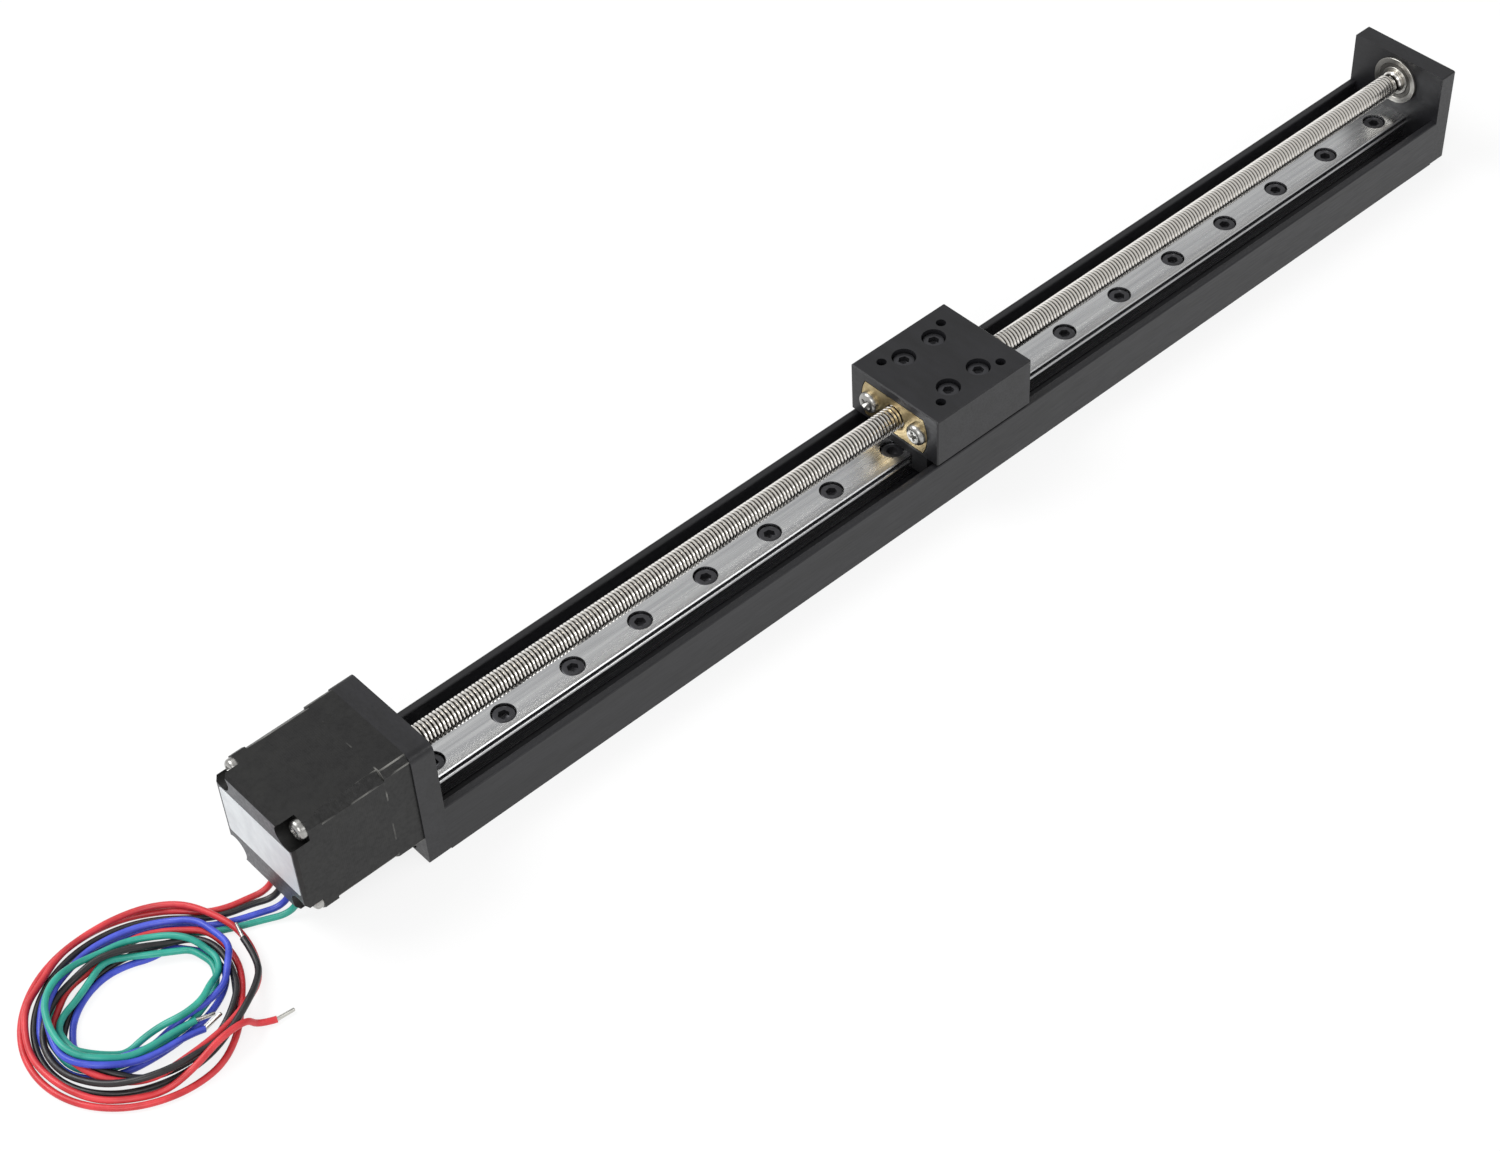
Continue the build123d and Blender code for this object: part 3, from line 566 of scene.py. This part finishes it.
brass = blank_finish("turned brass", "b3a077", metallic=1.0, roughness=0.4)
tinted(brass, speckle(brass, 2.5), "a6926a", "bfae86")
rings = add(brass, "ShaderNodeTexWave",
            {"wave_type": "RINGS", "rings_direction": "X", "Scale": wave_period / ring_spacing,
             "Distortion": 0.5}, Vector=coordinates(brass, (0, 0, -screw_height)))
uneven_gloss(brass, rings.outputs["Fac"], 0.34, 0.46, start=0, end=1)
print("thread's colour runs from", root_shade_radius * 1000, "to", crest_highlight_radius * 1000, "mm from its axis")

# %% [markdown]
# The socket screws are black oxide over steel: nearly black, with an oily sheen. The cross-head
# screws are zinc plated: bright, with a slightly cloudy shine. Neither skin is as even as the
# metal under it, so a noise goes into the roughness.

# %% Finishes of the screws
oxide = blank_finish("black oxide", "48484b", metallic=0.8, roughness=0.32)
uneven_gloss(oxide, speckle(oxide, 0.3), 0.26, 0.4)
relief(oxide, speckle(oxide, 0.2), 0.002, 0.5)

zinc = blank_finish("zinc plate", "a8a7a4", metallic=1.0, roughness=0.3)
tinted(zinc, speckle(zinc, 0.8), "9d9c99", "b4b3b0")
uneven_gloss(zinc, speckle(zinc, 0.4), 0.25, 0.38)
print("finishes:", oxide.name, "and", zinc.name)

# %% [markdown]
# The motor is coated black all over, bells and stator alike, and only the machined face at its
# rear is bare. The stator is a stack of half-millimetre steel sheets, whose edges still show as
# faint lines through the coat. They lie across the motor's axis, so bands along X make them. The
# bare face is in the same piece as the rear bell's coat: a mask shows steel where X is least.

# %% Coat of the motor
sheet_thickness = 0.0005
rear_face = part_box("motor_rear_bell")[0].x
bare_depth = 0.00006


def motor_black(name, sheets):
    """A thin black coat: over cast metal, or over the edges of stacked sheets."""
    material = blank_finish(name, "131313", roughness=0.42, specular=0.33)
    tinted(material, speckle(material, 4), "101010", "171716")
    uneven_gloss(material, speckle(material, 0.9), 0.34, 0.52)
    if sheets:
        bands = add(material, "ShaderNodeTexWave",
                    {"bands_direction": "X", "Scale": wave_period / sheet_thickness,
                     "Distortion": 0.3}, Vector=coordinates(material))
        relief(material, bands.outputs["Fac"], 0.012, 0.4)
    else:
        relief(material, speckle(material, 0.25), 0.012, 0.6)
    return material


def show_bare_metal_and_highlight(material, mask, colour):
    """Shows a pale colour where a mask is 1, and the coat's own colour where it is 0."""
    coat = shader_of(material).inputs["Base Color"].links[0].from_socket
    mix = add(material, "ShaderNodeMix", {"data_type": "RGBA"}, mask)
    coat_side, pale_side = mix.inputs[6], mix.inputs[7]
    material.node_tree.links.new(coat, coat_side)
    pale_side.default_value = linear(colour)
    join(material, mix.outputs[2], "Base Color")


coated_sheets = motor_black("coated sheets", True)
coated_front = motor_black("coated bell", False)
coated_rear = motor_black("coated rear bell", False)

rear_axes = add(coated_rear, "ShaderNodeSeparateXYZ", Vector=coordinates(coated_rear))
bare = add(coated_rear, "ShaderNodeMath", {"operation": "LESS_THAN"},
           rear_axes.outputs["X"], rear_face + bare_depth).outputs[0]
show_bare_metal_and_highlight(coated_rear, bare, "66676a")
join(coated_rear, bare, "Metallic")
print("bare face at x =", round(rear_face * 1000, 2), "mm")

# %% [markdown]
# A painted highlight runs in long patches along the cut corners of the stator and the front bell,
# where their bevels glint. Handling has also rubbed the coat off here and there at the joint
# between the stator and the front bell. Each mask keeps a narrow strip beside an edge, and patches
# of noise break it up. The motor is square, so the strips lie where the larger of the distances
# across and up reaches its side, and where their sum reaches the cut corner.

# %% Painted highlight on the motor's corners, and its worn seam
stator_low, stator_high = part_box("motor_stator")
half_side = (stator_high.y - stator_low.y) / 2
stator_cut, bell_cut = 0.0022, 0.0015
glint_and_wear_strip = 0.00018


def patches(material, noise, start, end, strength):
    """Scattered patches: a noise whose low values are cut to 0 and whose high ones end level."""
    cut = add(material, "ShaderNodeMapRange",
              {"From Min": start, "From Max": end, "To Max": strength}, Value=noise)
    return cut.outputs["Result"]


def glint_corners_and_wear_seam(material, corner_cut, seam_x):
    """Paints a highlight on the cut corners, and rubs the coat off along a seam across the motor.
    """
    from_middle = coordinates(material, (-seam_x, 0, -screw_height))
    distances = add(material, "ShaderNodeVectorMath", {"operation": "ABSOLUTE"}, from_middle)
    from_seam, across, up = add(material, "ShaderNodeSeparateXYZ", None,
                                distances.outputs["Vector"]).outputs
    larger = add(material, "ShaderNodeMath", {"operation": "MAXIMUM"}, across, up).outputs[0]
    summed = add(material, "ShaderNodeMath", {"operation": "ADD"}, across, up).outputs[0]
    at_side = add(material, "ShaderNodeMath", {"operation": "GREATER_THAN"},
                  larger, half_side - glint_and_wear_strip).outputs[0]
    at_cut = add(material, "ShaderNodeMath", {"operation": "GREATER_THAN"},
                 summed, 2 * half_side - corner_cut - glint_and_wear_strip).outputs[0]
    at_seam = add(material, "ShaderNodeMath", {"operation": "LESS_THAN"},
                  from_seam, glint_and_wear_strip).outputs[0]
    corner = add(material, "ShaderNodeMath", {"operation": "MULTIPLY"}, at_side, at_cut).outputs[0]
    # The strip along the corners is a painted highlight, broken into long patches.
    long_patches = patches(material, speckle(material, 3, (4, 1, 1)), 0.46, 0.62, 0.9)
    glinting_corner = add(material, "ShaderNodeMath", {"operation": "MULTIPLY"},
                      corner, long_patches).outputs[0]
    round_patches = patches(material, speckle(material, 5), 0.52, 0.66, 0.6)
    worn_seam = add(material, "ShaderNodeMath", {"operation": "MULTIPLY"},
                    at_seam, round_patches).outputs[0]
    glint_and_wear = add(material, "ShaderNodeMath", {"operation": "MAXIMUM"}, glinting_corner, worn_seam)
    # Pale grey: a painted highlight on the corners, and rubbed-off coat at the seam.
    show_bare_metal_and_highlight(material, glint_and_wear.outputs[0], "7f7e7a")


# Painted highlight on the corners of the stator and the front bell, and wear at their seam.
glint_corners_and_wear_seam(coated_sheets, stator_cut, stator_high.x)
glint_corners_and_wear_seam(coated_front, bell_cut, stator_high.x)
print("front seam at x =", round(stator_high.x * 1000, 2), "mm")

# %% [markdown]
# The rest are small parts: moulded end caps, rubber seals and grommet, enamelled copper on the
# stator's poles, the rotor's magnet and its bare stacks. They get their own grain and sheen for
# when the slide is taken apart. The copper's bump is as wide as its wire, 0.25 mm, and that of
# the stacks as wide as a sheet is thick.

# %% Plastic, rubber, copper, magnet
moulded = blank_finish("moulded plastic", "1a1a1d", roughness=0.45)
uneven_gloss(moulded, speckle(moulded, 1.5), 0.38, 0.52)
relief(moulded, speckle(moulded, 0.3), 0.01, 0.5)

rubber = blank_finish("black rubber", "17171a", roughness=0.7)
uneven_gloss(rubber, speckle(rubber, 0.8), 0.6, 0.8)
relief(rubber, speckle(rubber, 0.2), 0.02, 0.5)

copper = blank_finish("enamelled copper", "b5673a", metallic=1.0, roughness=0.28)
relief(copper, speckle(copper, 0.25, (1, 1, 6)), 0.05, 0.8)

magnetic = blank_finish("magnet", "6f7072", metallic=0.8, roughness=0.4)
uneven_gloss(magnetic, speckle(magnetic, 0.6), 0.32, 0.5)

stacks = blank_finish("bare sheets", "77787a", metallic=1.0, roughness=0.35)
relief(stacks, speckle(stacks, sheet_thickness * 1000, (0.5, 6, 6)), 0.02, 0.5)
print("finishes:", moulded.name, rubber.name, copper.name, magnetic.name, stacks.name, sep=", ")

# %% [markdown]
# ## Finishes for the CAD pieces
#
# A CAD piece arrives with plain materials in its slots. A table of finishes and piece names
# replaces them all in one loop, and the printed list shows whether a piece was forgotten. The
# plain solids of the wires get their colours too.

# %% Give the CAD pieces their finishes
finishes = {
    drawn_black: ["base_channel"],
    milled_black: ["motor_plate", "end_plate", "carriage_block"],
    ground: ["linear_rail", "rail_block"],
    ring_steel: ["rear_preload_washer"],
    pressed: [],
    oxide: ["rail_screws", "carriage_cap_screws", "motor_plate_screws", "end_plate_screws",
            "motor_mount_screws"],
    zinc: ["nut_screws", "motor_through_screws"],
    rolled: ["lead_screw"],
    brass: ["lead_nut"],
    coated_sheets: ["motor_stator"],
    coated_front: ["motor_front_bell"],
    coated_rear: ["motor_rear_bell"],
    stacks: ["rotor_stack_front", "rotor_stack_rear"],
    magnetic: ["rotor_magnet"],
    copper: ["motor_coils"],
    moulded: ["block_end_caps"],
    rubber: ["block_end_seals", "wire_grommet"],
    wire_colours["black"]: ["wire_coil"],
}
for wire, material in wire_colours.items():
    finishes.setdefault(material, []).append("wire_" + wire)
for bearing in ("end_bearing", "front_bearing", "rear_bearing"):
    finishes[ring_steel] += [bearing + "_outer_ring", bearing + "_inner_ring"]
    finishes[pressed].append(bearing + "_shields")
for material, names in finishes.items():
    for name in names:
        slots = nodes[name].data.materials
        for i in range(len(slots)):
            slots[i] = material
        if not slots:
            slots.append(material)
finished = {name for names in finishes.values() for name in names}
print("pieces without a finish:", sorted(set(nodes) - finished))

# %% [markdown]
# ## The screw's thread
#
# The lead screw is one bar: a thin journal that runs through the motor, and a threaded length
# with a pitch of one millimetre. A thread is one tooth's outline, spun round the axis while it
# moves along it. The spin operator does just that with its dvec, the step along the axis. One
# turn is spun and copied along the bar, which is much quicker than one long spin. Merging doubles
# closes the surface between copies. The first and last turns are eased down into the bar, as a
# rolled thread runs out.

# %% Thread
pitch = 0.001
crest_radius = 0.0030
root_radius = 0.0024
sunk_radius = root_radius - 0.0001
thread_start, thread_end = -0.1551, 0.1809
run_out = 1.5 * pitch
steps_per_turn = 18
tooth = [(0.0, root_radius), (0.28, crest_radius), (0.62, crest_radius), (0.84, root_radius),
         (1.0, root_radius)]


def thread_surface():
    """The thread's helical surface: one turn is spun, and its copies follow along the axis."""
    one_turn = bmesh.new()
    verts = [one_turn.verts.new((thread_start + along * pitch, 0, radius))
             for along, radius in tooth]
    edges = [one_turn.edges.new(pair) for pair in zip(verts, verts[1:])]
    bmesh.ops.spin(one_turn, geom=verts + edges, cent=(0, 0, 0), axis=(-1, 0, 0),
                   angle=2 * math.pi, steps=steps_per_turn,
                   dvec=(pitch / steps_per_turn, 0, 0), use_duplicate=False)
    pattern = mesh_from("one_turn", one_turn)
    shape = bmesh.new()
    for _ in range(round((thread_end - thread_start) / pitch) - 1):
        shape.from_mesh(pattern)
        pattern.transform(Matrix.Translation((pitch, 0, 0)))
    bpy.data.meshes.remove(pattern)
    bmesh.ops.remove_doubles(shape, verts=shape.verts, dist=0.00001)
    for vert in shape.verts:
        radius = math.hypot(vert.co.y, vert.co.z)
        near_end = min(vert.co.x - thread_start, thread_end - vert.co.x) / run_out
        eased = sunk_radius + (radius - sunk_radius) * max(0, min(1, near_end))
        vert.co.y *= eased / radius
        vert.co.z *= eased / radius
    return shape


helix = thread_surface()
print("thread:", len(helix.faces), "faces")

# %% [markdown]
# The rest of the bar is turned: an outline of places along X and radii, spun once round the
# axis. Its core lies just inside the thread's roots, and closes the thread from within. Small
# bevels are written into the outline at its ends.

# %% The screw's bar
journal_radius = 0.0025
core_radius = 0.00238
journal_bevel, end_bevel = 0.0003, 0.0004


def turn_outline(shape, outline, steps, closed=False):
    """Adds an outline of places along X and radii, spun once round the X axis."""
    verts = [shape.verts.new((x, 0, radius)) for x, radius in outline]
    following = verts[1:] + verts[:1] if closed else verts[1:]
    edges = [shape.edges.new(pair) for pair in zip(verts, following)]
    bmesh.ops.spin(shape, geom=verts + edges, cent=(0, 0, 0), axis=(1, 0, 0),
                   angle=2 * math.pi, steps=steps, use_merge=True)


screw_low, screw_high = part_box("lead_screw")
turn_outline(helix, [
    (screw_low.x, 0), (screw_low.x, journal_radius - journal_bevel),
    (screw_low.x + journal_bevel, journal_radius), (thread_start - 0.0005, journal_radius),
    (thread_start - 0.0001, core_radius), (thread_end + 0.0001, core_radius),
    (thread_end + 0.0006, crest_radius), (screw_high.x - end_bevel, crest_radius),
    (screw_high.x, crest_radius - end_bevel), (screw_high.x, 0)], steps=48)
bmesh.ops.remove_doubles(helix, verts=helix.verts, dist=0.000001)
bmesh.ops.recalc_face_normals(helix, faces=helix.faces)
bmesh.ops.translate(helix, verts=helix.verts, vec=(0, 0, screw_height))
print("whole screw:", len(helix.faces), "faces")
thread = finished_piece("threaded_screw", helix, rolled, "screw", 50)
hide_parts("lead_screw")


# %% [markdown]
# ## Socket screws and cross-head screws
#
# A socket screw is a cylinder with a bevelled rim and a hexagonal hole. The hole starts as an
# inset of the top face: the inner ring's points are slid onto a hexagon, and the face inside is
# pushed down and poked to a shallow cone, as a drilled hole ends. A cross-head screw is made the
# same way, with a domed head and the ring slid onto a cross.

# %% Shape of a screw
def hexagon_reach(angle, half_width):
    """How far a hexagon's edge is from its middle at an angle."""
    return half_width / math.cos((angle + math.pi / 6) % (math.pi / 3) - math.pi / 6)


def cross_reach(angle, arm, half_width):
    """How far a cross's edge is from its middle at an angle."""
    turned = abs((angle + math.pi / 4) % (math.pi / 2) - math.pi / 4)
    return min(arm / math.cos(turned), half_width / max(math.sin(turned), 0.001))


def screw_shape(head, height, shank, length, reach, depth, rim, rim_steps, segments, floor):
    """A screw whose head stands on z = 0 and whose shank goes down. Head and shank are radii,
    and floor is how wide the hole's floor is, as a share of its mouth."""
    shape = bmesh.new()
    bmesh.ops.create_cone(shape, cap_ends=True, segments=segments, radius1=head, radius2=head,
                          depth=height)
    bmesh.ops.translate(shape, verts=shape.verts, vec=(0, 0, height / 2))
    edge = [e for e in shape.edges if all(v.co.z > height * 0.9 for v in e.verts)]
    bmesh.ops.bevel(shape, geom=edge, offset=rim, segments=rim_steps, profile=0.5,
                    affect="EDGES", material=-1)
    top = max(shape.faces, key=lambda f: f.calc_center_median().z)
    bmesh.ops.inset_individual(shape, faces=[top], thickness=head * 0.12)
    for vert in top.verts:
        angle = math.atan2(vert.co.y, vert.co.x)
        vert.co.x = reach(angle) * math.cos(angle)
        vert.co.y = reach(angle) * math.sin(angle)
    hole = bmesh.ops.extrude_discrete_faces(shape, faces=[top])["faces"]
    for vert in hole[0].verts:
        vert.co = (vert.co.x * floor, vert.co.y * floor, vert.co.z - depth)
    bmesh.ops.poke(shape, faces=hole, offset=-head * 0.15)
    under = min(shape.faces, key=lambda f: f.calc_center_median().z)
    bmesh.ops.inset_individual(shape, faces=[under], thickness=head - shank)
    stem = bmesh.ops.extrude_discrete_faces(shape, faces=[under])["faces"]
    bmesh.ops.translate(shape, verts=stem[0].verts, vec=(0, 0, -length))
    return shape


def socket_screw(length, head=0.00275, height=0.0030, shank=0.0015, key=0.0025, depth=0.0014):
    """A socket cap screw with a 3 mm thread, for a key of a given width."""
    return screw_shape(head, height, shank, length, lambda a: hexagon_reach(a, key / 2), depth,
                       rim=0.13 * head, rim_steps=3, segments=36, floor=1.0)


def cross_screw(head, height, shank, length, arm):
    """A pan head screw with a cross recess."""
    half_width = arm * math.tan(math.radians(22.5)) * 0.8
    return screw_shape(head, height, shank, length, lambda a: cross_reach(a, arm, half_width),
                       height * 0.7, rim=0.42 * head, rim_steps=6, segments=48, floor=0.45)


print("a 2.5 mm socket is", round(hexagon_reach(math.pi / 6, 0.00125) * 2000, 2), "mm wide",
      "across its corners")

# %% [markdown]
# Each kind of screw is made once, on the Z axis, and copied to its places as one piece. No two
# screws stop at the same turn when they are tightened, so each place has its own.

# %% Socket screws of the rail and the carriage
def upright(x, y, z, turn_degrees):
    """A place for a screw that points up, turned about its axis."""
    return (Matrix.Translation((x, y, z))
            @ Matrix.Rotation(math.radians(turn_degrees), 4, "Z"))


def screw_set(name, shape, places, material, body):
    """Copies a screw to all its places, as one piece."""
    pattern = mesh_from(name + "_pattern", shape)
    joined = bmesh.new()
    for place in places:
        before = len(joined.verts)
        joined.from_mesh(pattern)
        joined.verts.ensure_lookup_table()
        bmesh.ops.transform(joined, matrix=place, verts=joined.verts[before:])
    bpy.data.meshes.remove(pattern)
    bmesh.ops.recalc_face_normals(joined, faces=joined.faces)
    print(name, "places:", len(places), "faces:", len(joined.faces))
    piece = finished_piece(name, joined, material, body, 30)
    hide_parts(name.replace("_turned", ""))
    return piece


rail_screw_count, rail_screw_pitch, rail_seat = 17, 0.020, 0.0072
rail_middle = sum(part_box("linear_rail"), Vector()).x / 2
rail_places = [
    upright(rail_middle + (i - rail_screw_count // 2) * rail_screw_pitch, 0, rail_seat, 17 * i)
    for i in range(rail_screw_count)]
screw_set("rail_screws_turned", socket_screw(length=0.0060), rail_places, oxide, "base")

carriage_low, carriage_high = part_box("carriage_block")
carriage_x = (carriage_low.x + carriage_high.x) / 2
carriage_seat = carriage_high.z - 0.004
carriage_places = [
    upright(carriage_x + along, across, carriage_seat, turned)
    for along, across, turned in ((-0.005, -0.0075, -187.5), (-0.005, 0.0075, -52.5),
                                  (0.005, -0.0075, 52.5), (0.005, 0.0075, 187.5))]
screw_set("carriage_cap_screws_turned", socket_screw(length=0.0120), carriage_places, oxide,
          "carriage")

# %% [markdown]
# The nut is held by two cross-head screws, and the motor by four long ones that run right
# through it. All their heads face the motor's end, so their places tip the screw over.

# %% Cross-head screws of the nut and the motor
def towards_motor(x, y, z, turn_degrees):
    """A place for a screw whose head faces the motor's end."""
    return (Matrix.Translation((x, y, z)) @ Matrix.Rotation(math.radians(-90), 4, "Y")
            @ Matrix.Rotation(math.radians(turn_degrees), 4, "Z"))


nut_places = [towards_motor(carriage_low.x, -0.008, screw_height, 20),
              towards_motor(carriage_low.x, 0.008, screw_height, 52)]
nut_screw = cross_screw(head=0.0028, height=0.0017, shank=0.0015, length=0.0060, arm=0.0015)
screw_set("nut_screws_turned", nut_screw, nut_places, zinc, "carriage")

through_low, through_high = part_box("motor_through_screws")
through_head = 0.0018
through_seat = through_low.x + through_head
through_places = [
    towards_motor(through_seat, across, screw_height + up, turned)
    for across, up, turned in ((-0.0115, -0.0115, -44.85), (-0.0115, 0.0115, 24.15),
                               (0.0115, -0.0115, -24.15), (0.0115, 0.0115, 44.85))]
through_screw = cross_screw(head=0.00235, height=through_head, shank=0.00125,
                            length=through_high.x - through_seat, arm=0.0012)
screw_set("motor_through_screws_turned", through_screw, through_places, zinc, "base")

# %% [markdown]
# ## Bearing in the end plate
#
# The far bearing shows its flange, a pressed shield, and the inner ring round the screw. Each
# ring is a closed outline spun round the screw's axis. Small bevels are written into the outline,
# because rings are ground with such edges, and they shine. The shield stays the CAD's own.

# %% Turned rings of the far bearing
def turned_ring(name, outline, body):
    """A closed outline of places along X and radii, spun once round the screw's axis."""
    shape = bmesh.new()
    turn_outline(shape, outline, steps=56, closed=True)
    bmesh.ops.remove_doubles(shape, verts=shape.verts, dist=0.000001)
    bmesh.ops.recalc_face_normals(shape, faces=shape.faces)
    bmesh.ops.translate(shape, verts=shape.verts, vec=(0, 0, screw_height))
    piece = finished_piece(name, shape, ring_steel, body, 30)
    return piece


fine_bevel, bore_bevel, ring_bevel = 0.0001, 0.00015, 0.0002
flange_width = 0.0008
body_radius = 0.0060
outer_bore, inner_bore = 0.00505, 0.0030

outer_low, outer_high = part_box("end_bearing_outer_ring")
flange_radius = (outer_high.y - outer_low.y) / 2
near, far, flange_end = outer_low.x, outer_high.x, outer_low.x + flange_width
outer = turned_ring("far_bearing_outer", [
    (near, outer_bore + ring_bevel), (near, flange_radius - fine_bevel),
    (near + fine_bevel, flange_radius), (flange_end - fine_bevel, flange_radius),
    (flange_end, flange_radius - fine_bevel), (flange_end, body_radius),
    (far - ring_bevel, body_radius), (far, body_radius - ring_bevel),
    (far, outer_bore + ring_bevel), (far - ring_bevel, outer_bore),
    (near + ring_bevel, outer_bore)], "base")
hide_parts("end_bearing_outer_ring")

inner_low, inner_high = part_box("end_bearing_inner_ring")
inner_radius = (inner_high.y - inner_low.y) / 2
near, far = inner_low.x, inner_high.x
inner = turned_ring("far_bearing_inner", [
    (near, inner_bore + bore_bevel), (near, inner_radius - fine_bevel),
    (near + fine_bevel, inner_radius), (far - fine_bevel, inner_radius),
    (far, inner_radius - fine_bevel), (far, inner_bore + bore_bevel),
    (far - bore_bevel, inner_bore), (near + bore_bevel, inner_bore)], "screw")
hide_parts("end_bearing_inner_ring")
print("bearing flange:", round(flange_radius * 2000, 2), "mm")

# %% [markdown]
# ## Label on the motor
#
# A plain silver foil label is stuck across the motor's rear face: a thin sheet with rounded
# corners, faintly wavy because it was pressed down by hand. A grid of one face is scaled to its
# size, its corners are bevelled, and it is extruded by the foil's thickness.

# %% Label
label_height, label_width, label_corner, foil_thickness = 0.0142, 0.0256, 0.0007, 0.00006
label_sideways, label_raised = -0.0002, 0.001

foil = blank_finish("silver foil", "ced2d4", metallic=0.35, roughness=0.42)
tinted(foil, speckle(foil, 5), "cdd1d4", "dce0e2")
uneven_gloss(foil, speckle(foil, 2), 0.36, 0.5)
relief(foil, speckle(foil, 3), 0.05, 0.5)

label = bmesh.new()
bmesh.ops.create_grid(label, x_segments=1, y_segments=1, size=0.5)
bmesh.ops.scale(label, verts=label.verts, vec=(label_height, label_width, 1))
bmesh.ops.bevel(label, geom=list(label.verts), offset=label_corner, segments=4, profile=0.5,
                affect="VERTICES", material=-1)
raised = bmesh.ops.extrude_face_region(label, geom=list(label.faces))["geom"]
bmesh.ops.translate(label, verts=[v for v in raised if isinstance(v, bmesh.types.BMVert)],
                    vec=(0, 0, foil_thickness))
bmesh.ops.recalc_face_normals(label, faces=label.faces)
label_place = towards_motor(rear_face, label_sideways, screw_height + label_raised, 0)
bmesh.ops.transform(label, matrix=label_place, verts=label.verts)
label_piece = finished_piece("motor_label", label, foil, "base")
print("label:", [round(x * 1000, 1) for x in label_piece.dimensions], "mm")

# %% [markdown]
# ## Floor and light
#
# The slide lies on a white table under broad, soft light. The floor partly shines white by
# itself, to the camera and to reflections. So it stays white without more light on the slide,
# and still shows a faint shadow.

# %% Floor
floor_half_width = 12
own_white = 0.8


def studio_floor():
    """A wide white floor that keeps a light shadow."""
    material = blank_finish("white table", "f4f4f4", roughness=0.75)
    path = add(material, "ShaderNodeLightPath")
    seen = add(material, "ShaderNodeMath", {"operation": "MAXIMUM"},
               path.outputs["Is Camera Ray"], path.outputs["Is Glossy Ray"])
    share = add(material, "ShaderNodeMath", {"operation": "MULTIPLY"}, seen.outputs[0], own_white)
    white = add(material, "ShaderNodeEmission", {"Color": (1, 1, 1, 1), "Strength": 1.02})
    mix = add(material, "ShaderNodeMixShader", None,
              share.outputs[0], shader_of(material).outputs[0], white.outputs[0])
    surface = material.node_tree.nodes["Material Output"].inputs["Surface"]
    material.node_tree.links.new(mix.outputs[0], surface)
    shape = bmesh.new()
    bmesh.ops.create_grid(shape, x_segments=8, y_segments=8, size=floor_half_width)
    mesh = mesh_from("floor", shape)
    mesh.materials.append(material)
    floor = in_scene("floor", mesh)


studio_floor()
print("floor:", 2 * floor_half_width, "m wide")


# %% [markdown]
# Big lamps give soft edges and, in bright steel, broad pale reflections between darker ones. One
# hangs over the far side, one stands on the near left, and the world fills in. A third, on the
# near right, glints in the bevels that face it.

# %% Lamps and world
def soft_lamp(name, place, aim, size, power):
    """A square lamp of the given size that looks at a point."""
    data = bpy.data.lights.new(name, "AREA")
    data.shape = "SQUARE"
    data.size = size
    data.energy = power
    direction = Vector(aim) - Vector(place)
    facing = direction.to_track_quat("-Z", "Y").to_matrix().to_4x4()
    in_scene(name, data).matrix_world = Matrix.Translation(place) @ facing


soft_lamp("over the far left", (-0.55, 0.75, 1.05), (0, 0, 0), size=0.8, power=12)
soft_lamp("near left", (-0.9, -0.6, 0.8), (0, 0, 0), size=0.6, power=5)
soft_lamp("near right", (0.35, -1.1, 0.72), (-0.1, 0, 0), size=0.5, power=2)

world = bpy.data.worlds.new("studio")
bpy.context.scene.world = world
world.use_nodes = True
background = world.node_tree.nodes["Background"]
background.inputs["Color"].default_value = (1, 1, 1, 1)
background.inputs["Strength"].default_value = 0.62
bpy.context.scene.view_settings.view_transform = "Standard"
